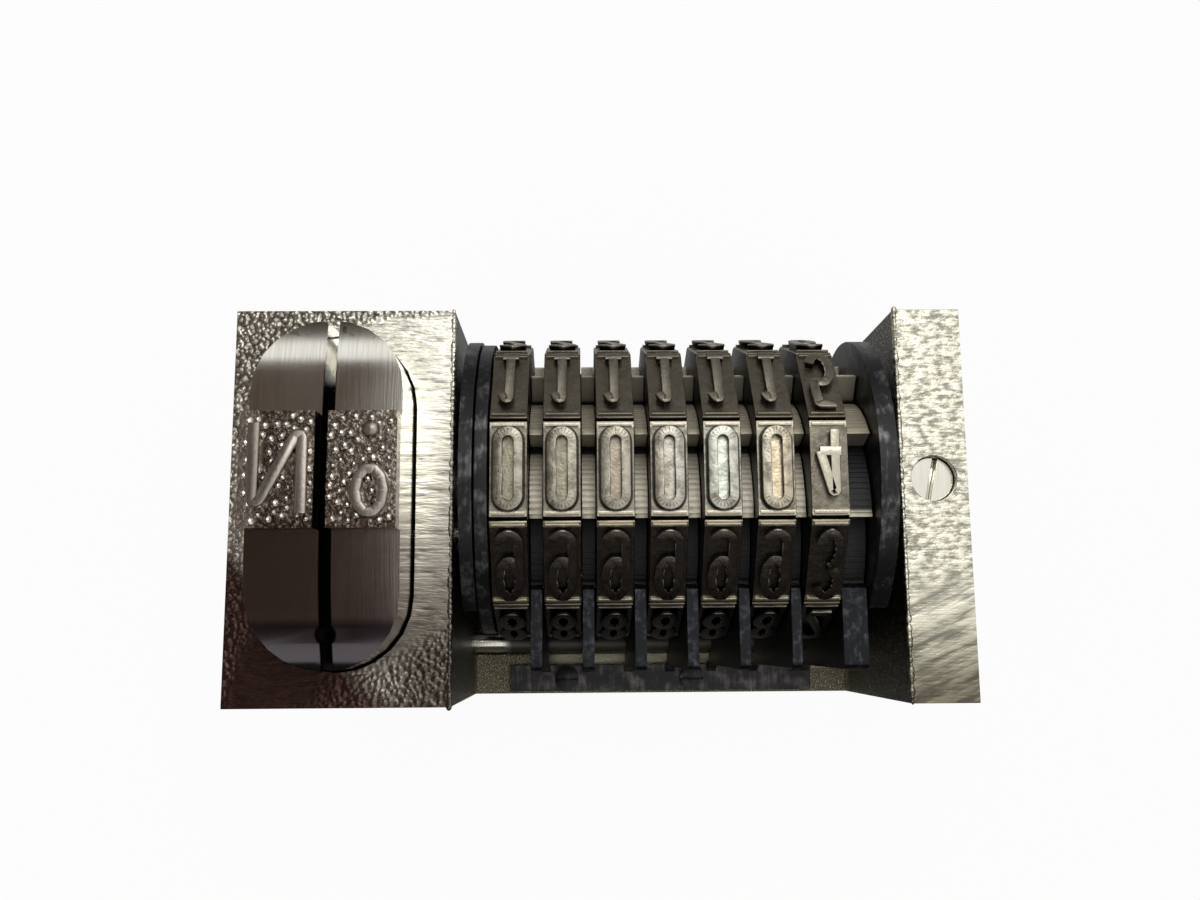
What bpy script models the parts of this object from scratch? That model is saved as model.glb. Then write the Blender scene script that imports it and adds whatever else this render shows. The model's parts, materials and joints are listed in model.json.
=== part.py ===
"""A plunger-operated typographic numbering machine, modelled as it is assembled.

A steel frame holds seven number wheels on one fixed shaft. A plunger in the thick end of the frame
rocks a swing about that shaft, and the swing's comb-shaped feed pawl turns the wheels by their
ratchets. A retaining pawl for each wheel stands on a rod in front of the wheels.

+X runs along the shaft, from the plunger to the units wheel. +Y is the rear and +Z is up. The origin is
the centre of the frame's underside. Angles of the mechanism are measured round the shaft, from
straight up towards the rear.
"""

import math

import bmesh
import bpy
from mathutils import Matrix, Vector

MM = 0.001

# Frame: one machined block with a thick plunger end, a thin cheek and a low base between them.
# Its length comes from what stands on the shaft, and its height from the swing's reach.
BLOCK_LENGTH = 12.4 * MM
BLOCK_WALL = 2.1 * MM
BLOCK_END_WALL = 1.7 * MM
CHEEK_THICKNESS = 3.8 * MM
FRONT_OF_AXIS = 12.4 * MM
REAR_OF_AXIS = 9.8 * MM
METAL_OVER_AXIS = 3.8 * MM
RAIL_HEIGHT = 2.2 * MM
RAIL_WIDTH = 2.6 * MM
FLOOR_THICKNESS = 1.2 * MM
SWING_FLOOR_GAP = 1.45 * MM

# Shaft.
SHAFT_RADIUS = 1.5 * MM
SHAFT_SEAT_DEPTH = 1.3 * MM
END_INSET = 0.25 * MM

# Clearances.
RUNNING_CLEARANCE = 0.08 * MM
SEAT_CLEARANCE = 0.05 * MM
SIDE_CLEARANCE = 0.08 * MM
RIDE_CLEARANCE = 0.3 * MM
OVERRUN = 1.0 * MM

# Number wheels: a ten-sided figure band with a saw-toothed ratchet ring dowelled to its side.
FIGURES_PER_WHEEL = 10
FIGURE_BAND_WIDTH = 2.0 * MM
BAND_CORNER_RADIUS = 8.57 * MM
BAND_GROOVE_WIDTH = 0.26 * MM
BAND_GROOVE_DEPTH = 0.3 * MM
RATCHET_WIDTH = 0.77 * MM
RATCHET_BELOW_CORNER = 1.27 * MM
RATCHET_DEPTH = 1.8 * MM
RATCHET_TIP_ANGLE = 16.0
UNITS_RATCHET_WIDTH = 1.5 * MM
WHEEL_GAP = 0.04 * MM
FLANK_STEPS = 4
DOWEL_COUNT = 2
DOWEL_RADIUS = 0.35 * MM
DOWEL_CIRCLE = 3.2 * MM
DOWEL_DEPTH = 0.8 * MM

# Each ratchet has one deeper notch, where the wheel to its left is fed as well.
CARRY_DEPTH = 0.8 * MM
CARRY_NOTCH = 4

# Swing: two arms on the shaft, joined by the tie rod and the feed pawl's pin.
SWING_TRAVEL = 40.0
LEFT_HUB_LENGTH = 0.66 * MM
RIGHT_HUB_LENGTH = 1.26 * MM
ARM_OVER_CORNER = 0.03 * MM
ARM_WAIST_RADIUS = 4.6 * MM
LEFT_ARM_THICKNESS = 0.7 * MM
RIGHT_ARM_THICKNESS = 1.0 * MM
SPACER_THICKNESS = 0.72 * MM
SPACER_UNDER_CORNER = 0.12 * MM
HUB_RADIUS = 2.3 * MM
ARM_CUT_START_ANGLE = 222.0
ARM_CUT_END_ANGLE = 302.0
EAR_RADIUS = 1.1 * MM
EAR_BLEND_ANGLE = 7.0
EAR_STEP_ANGLE = 2.0
EAR_STEPS = 4
ARM_STEP_ANGLE = 6
ARM_CUT_CORNER_ANGLE = 0.5
PAWL_PIN_ANGLE = 159.0
TIE_ROD_ANGLE = 207.0
SWING_PIN_RADIUS = 0.5 * MM
DRIVE_PIN_RADIUS = 0.5 * MM
DRIVE_PIN_REACH = 1.2 * MM

# Feed pawl: an arched plate outside the figure bands, with one tooth for each ratchet.
PAWL_BAND_GAP = 0.53 * MM
PAWL_PIN_RISE = 0.85 * MM
PAWL_THICKNESS = 1.1 * MM
PAWL_HUB_RADIUS = 0.95 * MM
PAWL_START_ANGLE = 152.0
PAWL_END_ANGLE = 198.0
PAWL_TOOTH_HEEL_ANGLE = 184.0
PAWL_TOOTH_TOE_ANGLE = 195.0
PAWL_TOOTH_STEP = 0.12 * MM
PAWL_STEPS = 8

# Plunger: an oblong slug in the thick end of the frame, with a raised band for its sign.
PLUNGER_BEHIND_MIDDLE = 0.2 * MM
PLUNGER_STROKE = 2.0 * MM
PLUNGER_BOTTOM = 7.0 * MM
PLUNGER_SHELF_RISE = 4.6 * MM
PLUNGER_BAND_RISE = 1.6 * MM
PLUNGER_BAND_LENGTH = 6.0 * MM
PLUNGER_BAND_BEFORE_AXIS = 0.2 * MM
PLUNGER_CROWN_RADIUS = 17.7 * MM
CROWN_STEPS = 10
BORE_CLEARANCE = 0.1 * MM
BORE_FLOOR = 2.6 * MM
SLIT_WIDTH = 0.6 * MM
SLIT_OFFSET = 0.15 * MM
SLIT_BELOW_TOP = 0.1 * MM
EYE_RADIUS = 0.5 * MM
EYE_INSET = 1.9 * MM
PIN_SLOT_CLEARANCE = 0.15 * MM

# Plunger springs: two coils side by side, each in a pocket under the plunger.
SPRING_SPACING = 9.4 * MM
SPRING_RADIUS = 1.6 * MM
SPRING_WIRE_RADIUS = 0.25 * MM
SPRING_TURNS = 6
SPRING_POINTS_PER_TURN = 10
SPRING_POCKET_DEPTH = 5.0 * MM
SPRING_POCKET_CLEARANCE = 0.3 * MM

# Shaft lock screw: a slotted grub screw in the cheek's top, over the shaft.
LOCK_SCREW_RADIUS = 1.25 * MM
LOCK_SCREW_SUNK = 0.55 * MM
LOCK_SCREW_SLOT_WIDTH = 0.26 * MM
LOCK_SCREW_SLOT_DEPTH = 0.55 * MM
LOCK_SCREW_SLOT_ANGLE = 12.0

# Retaining pawls: upright plates on one rod, each with its nose at a ratchet.
ROD_INSET = 3.4 * MM
ROD_HEIGHT = 5.0 * MM
ROD_RADIUS = 0.6 * MM
RETAINER_HUB_RADIUS = 1.35 * MM
RETAINER_HEEL_RADIUS = 1.95 * MM
RETAINER_HEEL_ANGLE = -125.0
RETAINER_FOOT_ANGLE = -90.0
RETAINER_NOSE_ANGLE = -51.0
RETAINER_NOSE_STEPS = 6
RETAINER_NOSE_THICKNESS = 0.25 * MM
RETAINER_FRONT = 1.5 * MM
RETAINER_CORNER = 0.45 * MM
RETAINER_CORNER_STEPS = 3
RETAINER_HUB_REAR_ANGLES = (-150.0, -170.0, -190.0, -210.0, -230.0, -250.0, -270.0)

# Retaining spring: a comb of thin steel, held on the front rail by blackened screws.
COMB_THICKNESS = 0.28 * MM
COMB_WIDTH = 1.75 * MM
COMB_INSET = 0.15 * MM
COMB_TOUCH_GAP = 0.25 * MM
COMB_FINGER_FOOT = 0.6 * MM
COMB_FINGER_PAST_HEEL = 0.35 * MM
COMB_SCREW_RADIUS = 0.45 * MM
COMB_SCREW_HEAD_RADIUS = 0.8 * MM
COMB_SCREW_HEAD_HEIGHT = 0.5 * MM
COMB_SCREW_LENGTH = 1.5 * MM
COMB_SCREW_WHEELS = (1, 4)

# Feed pawl spring: a leaf curled round the tie rod that lies under the pawl.
LEAF_THICKNESS = 0.22 * MM
LEAF_WIDTH = 5.0 * MM
LEAF_END_ANGLE = 172.0
LEAF_CURL_ANGLE = 320.0
LEAF_BOW = 0.8 * MM
LEAF_STEPS = 10

ROUND_STEPS = 24
SMALL_ROUND_STEPS = 16
SHARP_ANGLE = 30.0

# The wheels from left to right, by what their figures count.
WHEEL_PLACES = (
    "millions",
    "hundred_thousands",
    "ten_thousands",
    "thousands",
    "hundreds",
    "tens",
    "units",
)

# Finishes: colour, roughness and metallic value.
FINISHES = {
    "nickelled_steel": ((0.62, 0.60, 0.54), 0.38, 1.0),
    "polished_steel": ((0.60, 0.58, 0.54), 0.18, 1.0),
    "figure_steel": ((0.40, 0.37, 0.31), 0.35, 1.0),
    "ratchet_steel": ((0.34, 0.29, 0.20), 0.40, 1.0),
    "blackened_steel": ((0.035, 0.036, 0.042), 0.42, 0.7),
    "blued_steel": ((0.13, 0.14, 0.17), 0.38, 0.9),
    "spring_steel": ((0.16, 0.16, 0.16), 0.35, 0.9),
}

WHEEL_COUNT = len(WHEEL_PLACES)
WHEEL_PITCH = FIGURE_BAND_WIDTH + RATCHET_WIDTH + WHEEL_GAP

# What stands on the shaft, counted from the block's inner face.
LEFT_ARM_OFFSET = SIDE_CLEARANCE + LEFT_HUB_LENGTH
SPACER_OFFSET = LEFT_ARM_OFFSET + LEFT_ARM_THICKNESS + SIDE_CLEARANCE
STACK_OFFSET = SPACER_OFFSET + SPACER_THICKNESS + SIDE_CLEARANCE
STACK_LENGTH = (WHEEL_COUNT - 1) * WHEEL_PITCH + FIGURE_BAND_WIDTH + UNITS_RATCHET_WIDTH
RIGHT_ARM_OFFSET = STACK_OFFSET + STACK_LENGTH + SIDE_CLEARANCE
RIGHT_HUB_END_OFFSET = RIGHT_ARM_OFFSET + RIGHT_ARM_THICKNESS + RIGHT_HUB_LENGTH
BAY_LENGTH = RIGHT_HUB_END_OFFSET + SIDE_CLEARANCE

# Radii round the shaft that follow from the wheels.
BAND_FLAT_RADIUS = BAND_CORNER_RADIUS * math.cos(math.pi / FIGURES_PER_WHEEL)
RATCHET_TIP_RADIUS = BAND_CORNER_RADIUS - RATCHET_BELOW_CORNER
RATCHET_ROOT_RADIUS = RATCHET_TIP_RADIUS - RATCHET_DEPTH
CARRY_ROOT_RADIUS = RATCHET_ROOT_RADIUS - CARRY_DEPTH
ARM_RADIUS = BAND_CORNER_RADIUS + ARM_OVER_CORNER
SPACER_RADIUS = BAND_CORNER_RADIUS - SPACER_UNDER_CORNER
PAWL_INNER_RADIUS = BAND_CORNER_RADIUS + PAWL_BAND_GAP
EAR_CENTRE_RADIUS = PAWL_INNER_RADIUS + PAWL_PIN_RISE

# The frame's outer size, and the places that several pieces share.
FRAME_LENGTH = BLOCK_LENGTH + BAY_LENGTH + CHEEK_THICKNESS
FRAME_DEPTH = FRONT_OF_AXIS + REAR_OF_AXIS
AXIS_HEIGHT = RAIL_HEIGHT + SWING_FLOOR_GAP + EAR_CENTRE_RADIUS + EAR_RADIUS
FRAME_HEIGHT = AXIS_HEIGHT + METAL_OVER_AXIS
BLOCK_FACE = -FRAME_LENGTH / 2 + BLOCK_LENGTH
CHEEK_FACE = FRAME_LENGTH / 2 - CHEEK_THICKNESS
CHEEK_MIDDLE = FRAME_LENGTH / 2 - CHEEK_THICKNESS / 2
BLOCK_MIDDLE = -FRAME_LENGTH / 2 + BLOCK_LENGTH / 2
AXIS = Vector((0, -FRAME_DEPTH / 2 + FRONT_OF_AXIS, AXIS_HEIGHT))
ROD = Vector((0, -FRAME_DEPTH / 2 + ROD_INSET, ROD_HEIGHT))
PLUNGER_WIDTH = BLOCK_LENGTH - 2 * (BLOCK_WALL + BORE_CLEARANCE)
PLUNGER_LENGTH = FRAME_DEPTH - 2 * (BLOCK_END_WALL + BORE_CLEARANCE)
PLUNGER_SHELF_HEIGHT = FRAME_HEIGHT + PLUNGER_SHELF_RISE
PLUNGER_BAND_HEIGHT = PLUNGER_SHELF_HEIGHT + PLUNGER_BAND_RISE
LEFT_ARM_X = BLOCK_FACE + LEFT_ARM_OFFSET
SPACER_X = BLOCK_FACE + SPACER_OFFSET
STACK_START = BLOCK_FACE + STACK_OFFSET
STACK_END = STACK_START + STACK_LENGTH
RIGHT_ARM_X = BLOCK_FACE + RIGHT_ARM_OFFSET
RIGHT_HUB_END = BLOCK_FACE + RIGHT_HUB_END_OFFSET
DRIVE_PIN_CIRCLE = PLUNGER_STROKE / (2 * math.sin(math.radians(SWING_TRAVEL / 2)))
DRIVE_PIN_ANGLE = -90.0 + SWING_TRAVEL / 2
PLUNGER_FACE = BLOCK_MIDDLE + PLUNGER_WIDTH / 2


def around(centre, radius, angle):
    """The (y, z) place at this radius and angle round a centre, counted from straight up to the rear."""
    turn = math.radians(angle)
    return centre.y + radius * math.sin(turn), centre.z + radius * math.cos(turn)


def clear_scene():
    for thing in list(bpy.data.objects):
        bpy.data.objects.remove(thing)


def metal(name):
    colour, roughness, metallic = FINISHES[name]
    made = bpy.data.materials.new(name)
    made.use_nodes = True
    shader = made.node_tree.nodes["Principled BSDF"]
    shader.inputs["Base Color"].default_value = (*colour, 1.0)
    shader.inputs["Roughness"].default_value = roughness
    shader.inputs["Metallic"].default_value = metallic
    made.diffuse_color = (*colour, 1.0)
    return made


def add_object(name, mesh, material=None, location=(0, 0, 0)):
    made = bpy.data.objects.new(name, mesh)
    made.location = location
    bpy.context.scene.collection.objects.link(made)
    if material:
        mesh.materials.clear()
        mesh.materials.append(material)
        mesh.shade_smooth()
        mesh.set_sharp_from_angle(angle=math.radians(SHARP_ANGLE))
    return made


def extruded(outline, depth_axis, start, end):
    """A closed solid: an outline of (u, v) points pushed along one axis.

    Along X the points are (y, z), along Y they are (x, z), and along Z they are (x, y).
    """
    place = {
        "X": lambda u, v: (start, u, v),
        "Y": lambda u, v: (u, start, v),
        "Z": lambda u, v: (u, v, start),
    }[depth_axis]
    direction = {"X": Vector((1, 0, 0)), "Y": Vector((0, 1, 0)), "Z": Vector((0, 0, 1))}[depth_axis]
    shape = bmesh.new()
    face = shape.faces.new([shape.verts.new(place(u, v)) for u, v in outline])
    pushed = bmesh.ops.extrude_face_region(shape, geom=[face])
    moved = [item for item in pushed["geom"] if isinstance(item, bmesh.types.BMVert)]
    bmesh.ops.translate(shape, verts=moved, vec=direction * (end - start))
    bmesh.ops.recalc_face_normals(shape, faces=shape.faces)
    mesh = bpy.data.meshes.new("solid")
    shape.to_mesh(mesh)
    shape.free()
    return mesh


def circle(centre_u, centre_v, radius, steps=ROUND_STEPS):
    return [
        (
            centre_u + radius * math.cos(math.tau * (n + 0.5) / steps),
            centre_v + radius * math.sin(math.tau * (n + 0.5) / steps),
        )
        for n in range(steps)
    ]


def bar_x(centre, radius, start, end, steps=ROUND_STEPS):
    """A round bar along X through the (y, z) of a centre."""
    return extruded(circle(centre.y, centre.z, radius, steps), "X", start, end)


def box(low, high):
    outline = [(low[0], low[1]), (high[0], low[1]), (high[0], high[1]), (low[0], high[1])]
    return extruded(outline, "Z", low[2], high[2])


def carved(base, cuts=(), additions=()):
    """The mesh of base with the additions united to it and then the cuts taken out of it."""
    body = add_object("working", base)
    tools = []
    for operation, meshes in (("UNION", additions), ("DIFFERENCE", cuts)):
        for mesh in meshes:
            tool = add_object("tool", mesh)
            tools.append(tool)
            modifier = body.modifiers.new(operation.lower(), "BOOLEAN")
            modifier.operation = operation
            modifier.solver = "EXACT"
            modifier.object = tool
    bpy.context.view_layer.update()
    evaluated = body.evaluated_get(bpy.context.evaluated_depsgraph_get())
    result = bpy.data.meshes.new_from_object(evaluated)
    for thing in [body, *tools]:
        bpy.data.objects.remove(thing)
    return result


def stadium(centre_x, centre_y, width, length, steps=ROUND_STEPS // 2):
    """An oblong with round ends, long in Y, as (x, y) points."""
    radius = width / 2
    reach = length / 2 - radius
    points = []
    for n in range(steps + 1):
        turn = math.pi * n / steps
        points.append((centre_x + radius * math.cos(turn), centre_y + reach + radius * math.sin(turn)))
    for n in range(steps + 1):
        turn = math.pi * (1 + n / steps)
        points.append((centre_x + radius * math.cos(turn), centre_y - reach + radius * math.sin(turn)))
    return points


def make_frame(steel):
    half_length = FRAME_LENGTH / 2
    half_depth = FRAME_DEPTH / 2
    block = box((-half_length, -half_depth, 0), (half_length, half_depth, FRAME_HEIGHT))
    channel = box(
        (BLOCK_FACE, -half_depth - OVERRUN, RAIL_HEIGHT),
        (CHEEK_FACE, half_depth + OVERRUN, FRAME_HEIGHT + OVERRUN),
    )
    well = box(
        (BLOCK_FACE, -half_depth + RAIL_WIDTH, FLOOR_THICKNESS),
        (CHEEK_FACE, half_depth - RAIL_WIDTH, RAIL_HEIGHT + OVERRUN),
    )
    bore_outline = stadium(
        BLOCK_MIDDLE,
        PLUNGER_BEHIND_MIDDLE,
        PLUNGER_WIDTH + 2 * BORE_CLEARANCE,
        PLUNGER_LENGTH + 2 * BORE_CLEARANCE,
    )
    bore = extruded(bore_outline, "Z", BORE_FLOOR, FRAME_HEIGHT + OVERRUN)
    shaft_hole = bar_x(
        AXIS, SHAFT_RADIUS + SEAT_CLEARANCE, BLOCK_FACE - SHAFT_SEAT_DEPTH, half_length + OVERRUN
    )
    rod_hole = bar_x(
        ROD,
        ROD_RADIUS + SEAT_CLEARANCE,
        BLOCK_FACE - SHAFT_SEAT_DEPTH,
        half_length + OVERRUN,
        SMALL_ROUND_STEPS,
    )
    screw_hole = extruded(
        circle(CHEEK_MIDDLE, AXIS.y, LOCK_SCREW_RADIUS + SEAT_CLEARANCE),
        "Z", AXIS.z, FRAME_HEIGHT + OVERRUN,
    )
    window_margin = DRIVE_PIN_RADIUS + 2 * PIN_SLOT_CLEARANCE
    near_y, top_z = around(AXIS, DRIVE_PIN_CIRCLE, DRIVE_PIN_ANGLE)
    far_y = AXIS.y - DRIVE_PIN_CIRCLE
    bottom_z = 2 * AXIS.z - top_z
    window = box(
        (PLUNGER_FACE - OVERRUN, far_y - window_margin, bottom_z - window_margin),
        (BLOCK_FACE + OVERRUN, near_y + window_margin, top_z + window_margin),
    )
    comb_holes = [
        extruded(
            circle(x, y, COMB_SCREW_RADIUS + SEAT_CLEARANCE, SMALL_ROUND_STEPS),
            "Z", RAIL_HEIGHT - COMB_SCREW_LENGTH - SEAT_CLEARANCE, RAIL_HEIGHT + OVERRUN,
        )
        for x, y in comb_screw_places()
    ]
    mesh = carved(block, [channel, well, bore, shaft_hole, rod_hole, screw_hole, window, *comb_holes])
    return add_object("frame", mesh, steel)


def make_shaft(steel):
    mesh = bar_x(
        AXIS, SHAFT_RADIUS, BLOCK_FACE - SHAFT_SEAT_DEPTH + SEAT_CLEARANCE, FRAME_LENGTH / 2 - END_INSET
    )
    return add_object("wheel_shaft", mesh, steel)


def make_lock_screw(steel):
    top = FRAME_HEIGHT - LOCK_SCREW_SUNK
    bottom = AXIS.z + SHAFT_RADIUS + SEAT_CLEARANCE
    barrel = extruded(circle(CHEEK_MIDDLE, AXIS.y, LOCK_SCREW_RADIUS), "Z", bottom, top)
    slot = box(
        (-LOCK_SCREW_SLOT_WIDTH / 2, -CHEEK_THICKNESS, top - LOCK_SCREW_SLOT_DEPTH),
        (LOCK_SCREW_SLOT_WIDTH / 2, CHEEK_THICKNESS, top + OVERRUN),
    )
    slot.transform(
        Matrix.Translation((CHEEK_MIDDLE, AXIS.y, 0))
        @ Matrix.Rotation(math.radians(-LOCK_SCREW_SLOT_ANGLE), 4, "Z")
    )
    return add_object("shaft_lock_screw", carved(barrel, [slot]), steel)


def band_outline():
    """Ten flats for the figures, with a shallow groove across each corner."""
    half_flat = BAND_CORNER_RADIUS * math.sin(math.pi / FIGURES_PER_WHEEL)
    half_land = half_flat - BAND_GROOVE_WIDTH / 2
    points = []
    for n in range(FIGURES_PER_WHEEL):
        turn = math.tau * n / FIGURES_PER_WHEEL
        radial = Vector((math.sin(turn), math.cos(turn)))
        along = Vector((math.cos(turn), -math.sin(turn)))
        points.append(radial * BAND_FLAT_RADIUS - along * half_land)
        points.append(radial * BAND_FLAT_RADIUS + along * half_land)
        corner = turn + math.pi / FIGURES_PER_WHEEL
        groove_radius = BAND_CORNER_RADIUS - BAND_GROOVE_DEPTH
        points.append(Vector((math.sin(corner), math.cos(corner))) * groove_radius)
    return [tuple(point) for point in points]


def ratchet_outline():
    """Saw teeth whose steep faces look to the front at the top of the wheel."""
    pitch = 360.0 / FIGURES_PER_WHEEL
    points = []
    for n in range(FIGURES_PER_WHEEL):
        for step in range(FLANK_STEPS + 1):
            share = step / FLANK_STEPS
            turn = math.radians(RATCHET_TIP_ANGLE + pitch * (n + share))
            radius = RATCHET_TIP_RADIUS - RATCHET_DEPTH * share
            if n == CARRY_NOTCH and step == FLANK_STEPS:
                radius = CARRY_ROOT_RADIUS
            points.append((radius * math.sin(turn), radius * math.cos(turn)))
    return points


def dowels(radius, depth):
    """Round bars into the side of the figure band, starting in the ratchet ring beside it."""
    bars = []
    for n in range(DOWEL_COUNT):
        centre = Vector((0, *around(Vector((0, 0, 0)), DOWEL_CIRCLE, 360.0 * n / DOWEL_COUNT)))
        end = FIGURE_BAND_WIDTH + RATCHET_WIDTH / 2
        bars.append(bar_x(centre, radius, FIGURE_BAND_WIDTH - depth, end, SMALL_ROUND_STEPS))
    return bars


def band_mesh():
    """A figure band about its own axis, from x = 0."""
    bore = bar_x(Vector((0, 0, 0)), SHAFT_RADIUS + RUNNING_CLEARANCE, -OVERRUN, FIGURE_BAND_WIDTH + OVERRUN)
    holes = dowels(DOWEL_RADIUS + SEAT_CLEARANCE, DOWEL_DEPTH + SEAT_CLEARANCE)
    return carved(extruded(band_outline(), "X", 0, FIGURE_BAND_WIDTH), [bore, *holes])


def ring_mesh(width):
    """A ratchet ring with its dowels, where it stands beside a figure band that starts at x = 0."""
    end = FIGURE_BAND_WIDTH + width
    ring = extruded(ratchet_outline(), "X", FIGURE_BAND_WIDTH + SEAT_CLEARANCE, end)
    bore = bar_x(Vector((0, 0, 0)), SHAFT_RADIUS + RUNNING_CLEARANCE, FIGURE_BAND_WIDTH, end + OVERRUN)
    return carved(ring, [bore], dowels(DOWEL_RADIUS, DOWEL_DEPTH))


def make_wheels(steel, ratchet_steel):
    band = band_mesh()
    rings = [ring_mesh(RATCHET_WIDTH), ring_mesh(UNITS_RATCHET_WIDTH)]
    for n, place in enumerate(WHEEL_PLACES):
        ring = rings[place == "units"]
        start = (STACK_START + n * WHEEL_PITCH, AXIS.y, AXIS.z)
        add_object("number_wheel_" + place, band, steel, start)
        add_object("ratchet_ring_" + place, ring, ratchet_steel, start)


def ratchet_spans():
    """The (start, end) in X of each wheel's ratchet ring."""
    spans = []
    for n, place in enumerate(WHEEL_PLACES):
        start = STACK_START + n * WHEEL_PITCH + FIGURE_BAND_WIDTH
        width = UNITS_RATCHET_WIDTH if place == "units" else RATCHET_WIDTH
        spans.append((start, start + width))
    return spans


def make_spacer(black):
    end = SPACER_X + SPACER_THICKNESS
    disc = bar_x(AXIS, SPACER_RADIUS, SPACER_X, end, 2 * ROUND_STEPS)
    bore = bar_x(AXIS, SHAFT_RADIUS + SEAT_CLEARANCE, SPACER_X - OVERRUN, end + OVERRUN)
    return add_object("wheel_spacer", carved(disc, [bore]), black)


def arm_radius(angle):
    """The arm's outer radius at an angle: a disc with two ears and a cut-away at the lower front."""
    radius = ARM_RADIUS
    if ARM_CUT_START_ANGLE <= angle <= ARM_CUT_END_ANGLE:
        radius = ARM_WAIST_RADIUS
    ear_half_angle = math.degrees(math.asin(EAR_RADIUS / EAR_CENTRE_RADIUS))
    for ear in (PAWL_PIN_ANGLE, TIE_ROD_ANGLE):
        off = abs(angle - ear)
        if off <= ear_half_angle:
            sideways = EAR_CENTRE_RADIUS * math.sin(math.radians(off))
            height = math.sqrt(max(EAR_RADIUS**2 - sideways**2, 0))
            radius = EAR_CENTRE_RADIUS * math.cos(math.radians(off)) + height
        elif off < ear_half_angle + EAR_BLEND_ANGLE and radius > ARM_WAIST_RADIUS:
            share = (off - ear_half_angle) / EAR_BLEND_ANGLE
            radius = EAR_CENTRE_RADIUS + (ARM_RADIUS - EAR_CENTRE_RADIUS) * share
    return radius


def arm_outline():
    turns = set(range(0, 360, ARM_STEP_ANGLE)) | {ARM_CUT_START_ANGLE, ARM_CUT_END_ANGLE}
    for edge in (ARM_CUT_START_ANGLE, ARM_CUT_END_ANGLE):
        turns |= {edge - ARM_CUT_CORNER_ANGLE, edge + ARM_CUT_CORNER_ANGLE}
    for ear in (PAWL_PIN_ANGLE, TIE_ROD_ANGLE):
        turns |= {ear + EAR_STEP_ANGLE * step for step in range(-EAR_STEPS, EAR_STEPS + 1)}
    return [around(AXIS, arm_radius(turn % 360), turn) for turn in sorted(turns)]


def swing_places():
    """The centres of the feed pawl's pin and of the tie rod."""
    return [Vector((0, *around(AXIS, EAR_CENTRE_RADIUS, turn))) for turn in (PAWL_PIN_ANGLE, TIE_ROD_ANGLE)]


def drive_pin_place():
    return Vector((0, *around(AXIS, DRIVE_PIN_CIRCLE, DRIVE_PIN_ANGLE)))


def make_swing(black, steel):
    pin_places = swing_places()
    outline = arm_outline()
    left_hub = bar_x(AXIS, HUB_RADIUS, LEFT_ARM_X - LEFT_HUB_LENGTH, LEFT_ARM_X + LEFT_ARM_THICKNESS / 2)
    left_start = LEFT_ARM_X - LEFT_HUB_LENGTH - OVERRUN
    left_end = LEFT_ARM_X + LEFT_ARM_THICKNESS
    left_stop = left_end + OVERRUN
    shaft_hole = SHAFT_RADIUS + RUNNING_CLEARANCE
    pin_hole = SWING_PIN_RADIUS + SEAT_CLEARANCE
    drive_hole = DRIVE_PIN_RADIUS + SEAT_CLEARANCE
    left_cuts = [
        bar_x(AXIS, shaft_hole, left_start, left_stop),
        bar_x(drive_pin_place(), drive_hole, left_start, left_stop, SMALL_ROUND_STEPS),
    ]
    left_cuts += [bar_x(place, pin_hole, left_start, left_stop, SMALL_ROUND_STEPS) for place in pin_places]
    left = carved(extruded(outline, "X", LEFT_ARM_X, left_end), left_cuts, [left_hub])
    add_object("swing_arm_left", left, black)

    right_end = RIGHT_ARM_X + RIGHT_ARM_THICKNESS
    right_hub = bar_x(AXIS, HUB_RADIUS, RIGHT_ARM_X + RIGHT_ARM_THICKNESS / 2, RIGHT_HUB_END)
    start = RIGHT_ARM_X - OVERRUN
    stop = RIGHT_HUB_END + OVERRUN
    right_cuts = [bar_x(AXIS, shaft_hole, start, stop)]
    right_cuts += [bar_x(place, pin_hole, start, stop, SMALL_ROUND_STEPS) for place in pin_places]
    right = carved(extruded(outline, "X", RIGHT_ARM_X, right_end), right_cuts, [right_hub])
    add_object("swing_arm_right", right, black)

    for name, place in zip(("feed_pawl_pin", "swing_tie_rod"), pin_places):
        mesh = bar_x(place, SWING_PIN_RADIUS, LEFT_ARM_X, right_end, SMALL_ROUND_STEPS)
        add_object(name, mesh, steel)
    drive = bar_x(
        drive_pin_place(), DRIVE_PIN_RADIUS, PLUNGER_FACE - DRIVE_PIN_REACH, left_end, SMALL_ROUND_STEPS
    )
    add_object("swing_drive_pin", drive, steel)


def arc_band(inner, outer, start, end, steps):
    """A closed (y, z) outline between two radii round the shaft's axis."""
    turns = [start + (end - start) * n / steps for n in range(steps + 1)]
    inside = [around(AXIS, inner, turn) for turn in turns]
    return inside + [around(AXIS, outer, turn) for turn in reversed(turns)]


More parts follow.
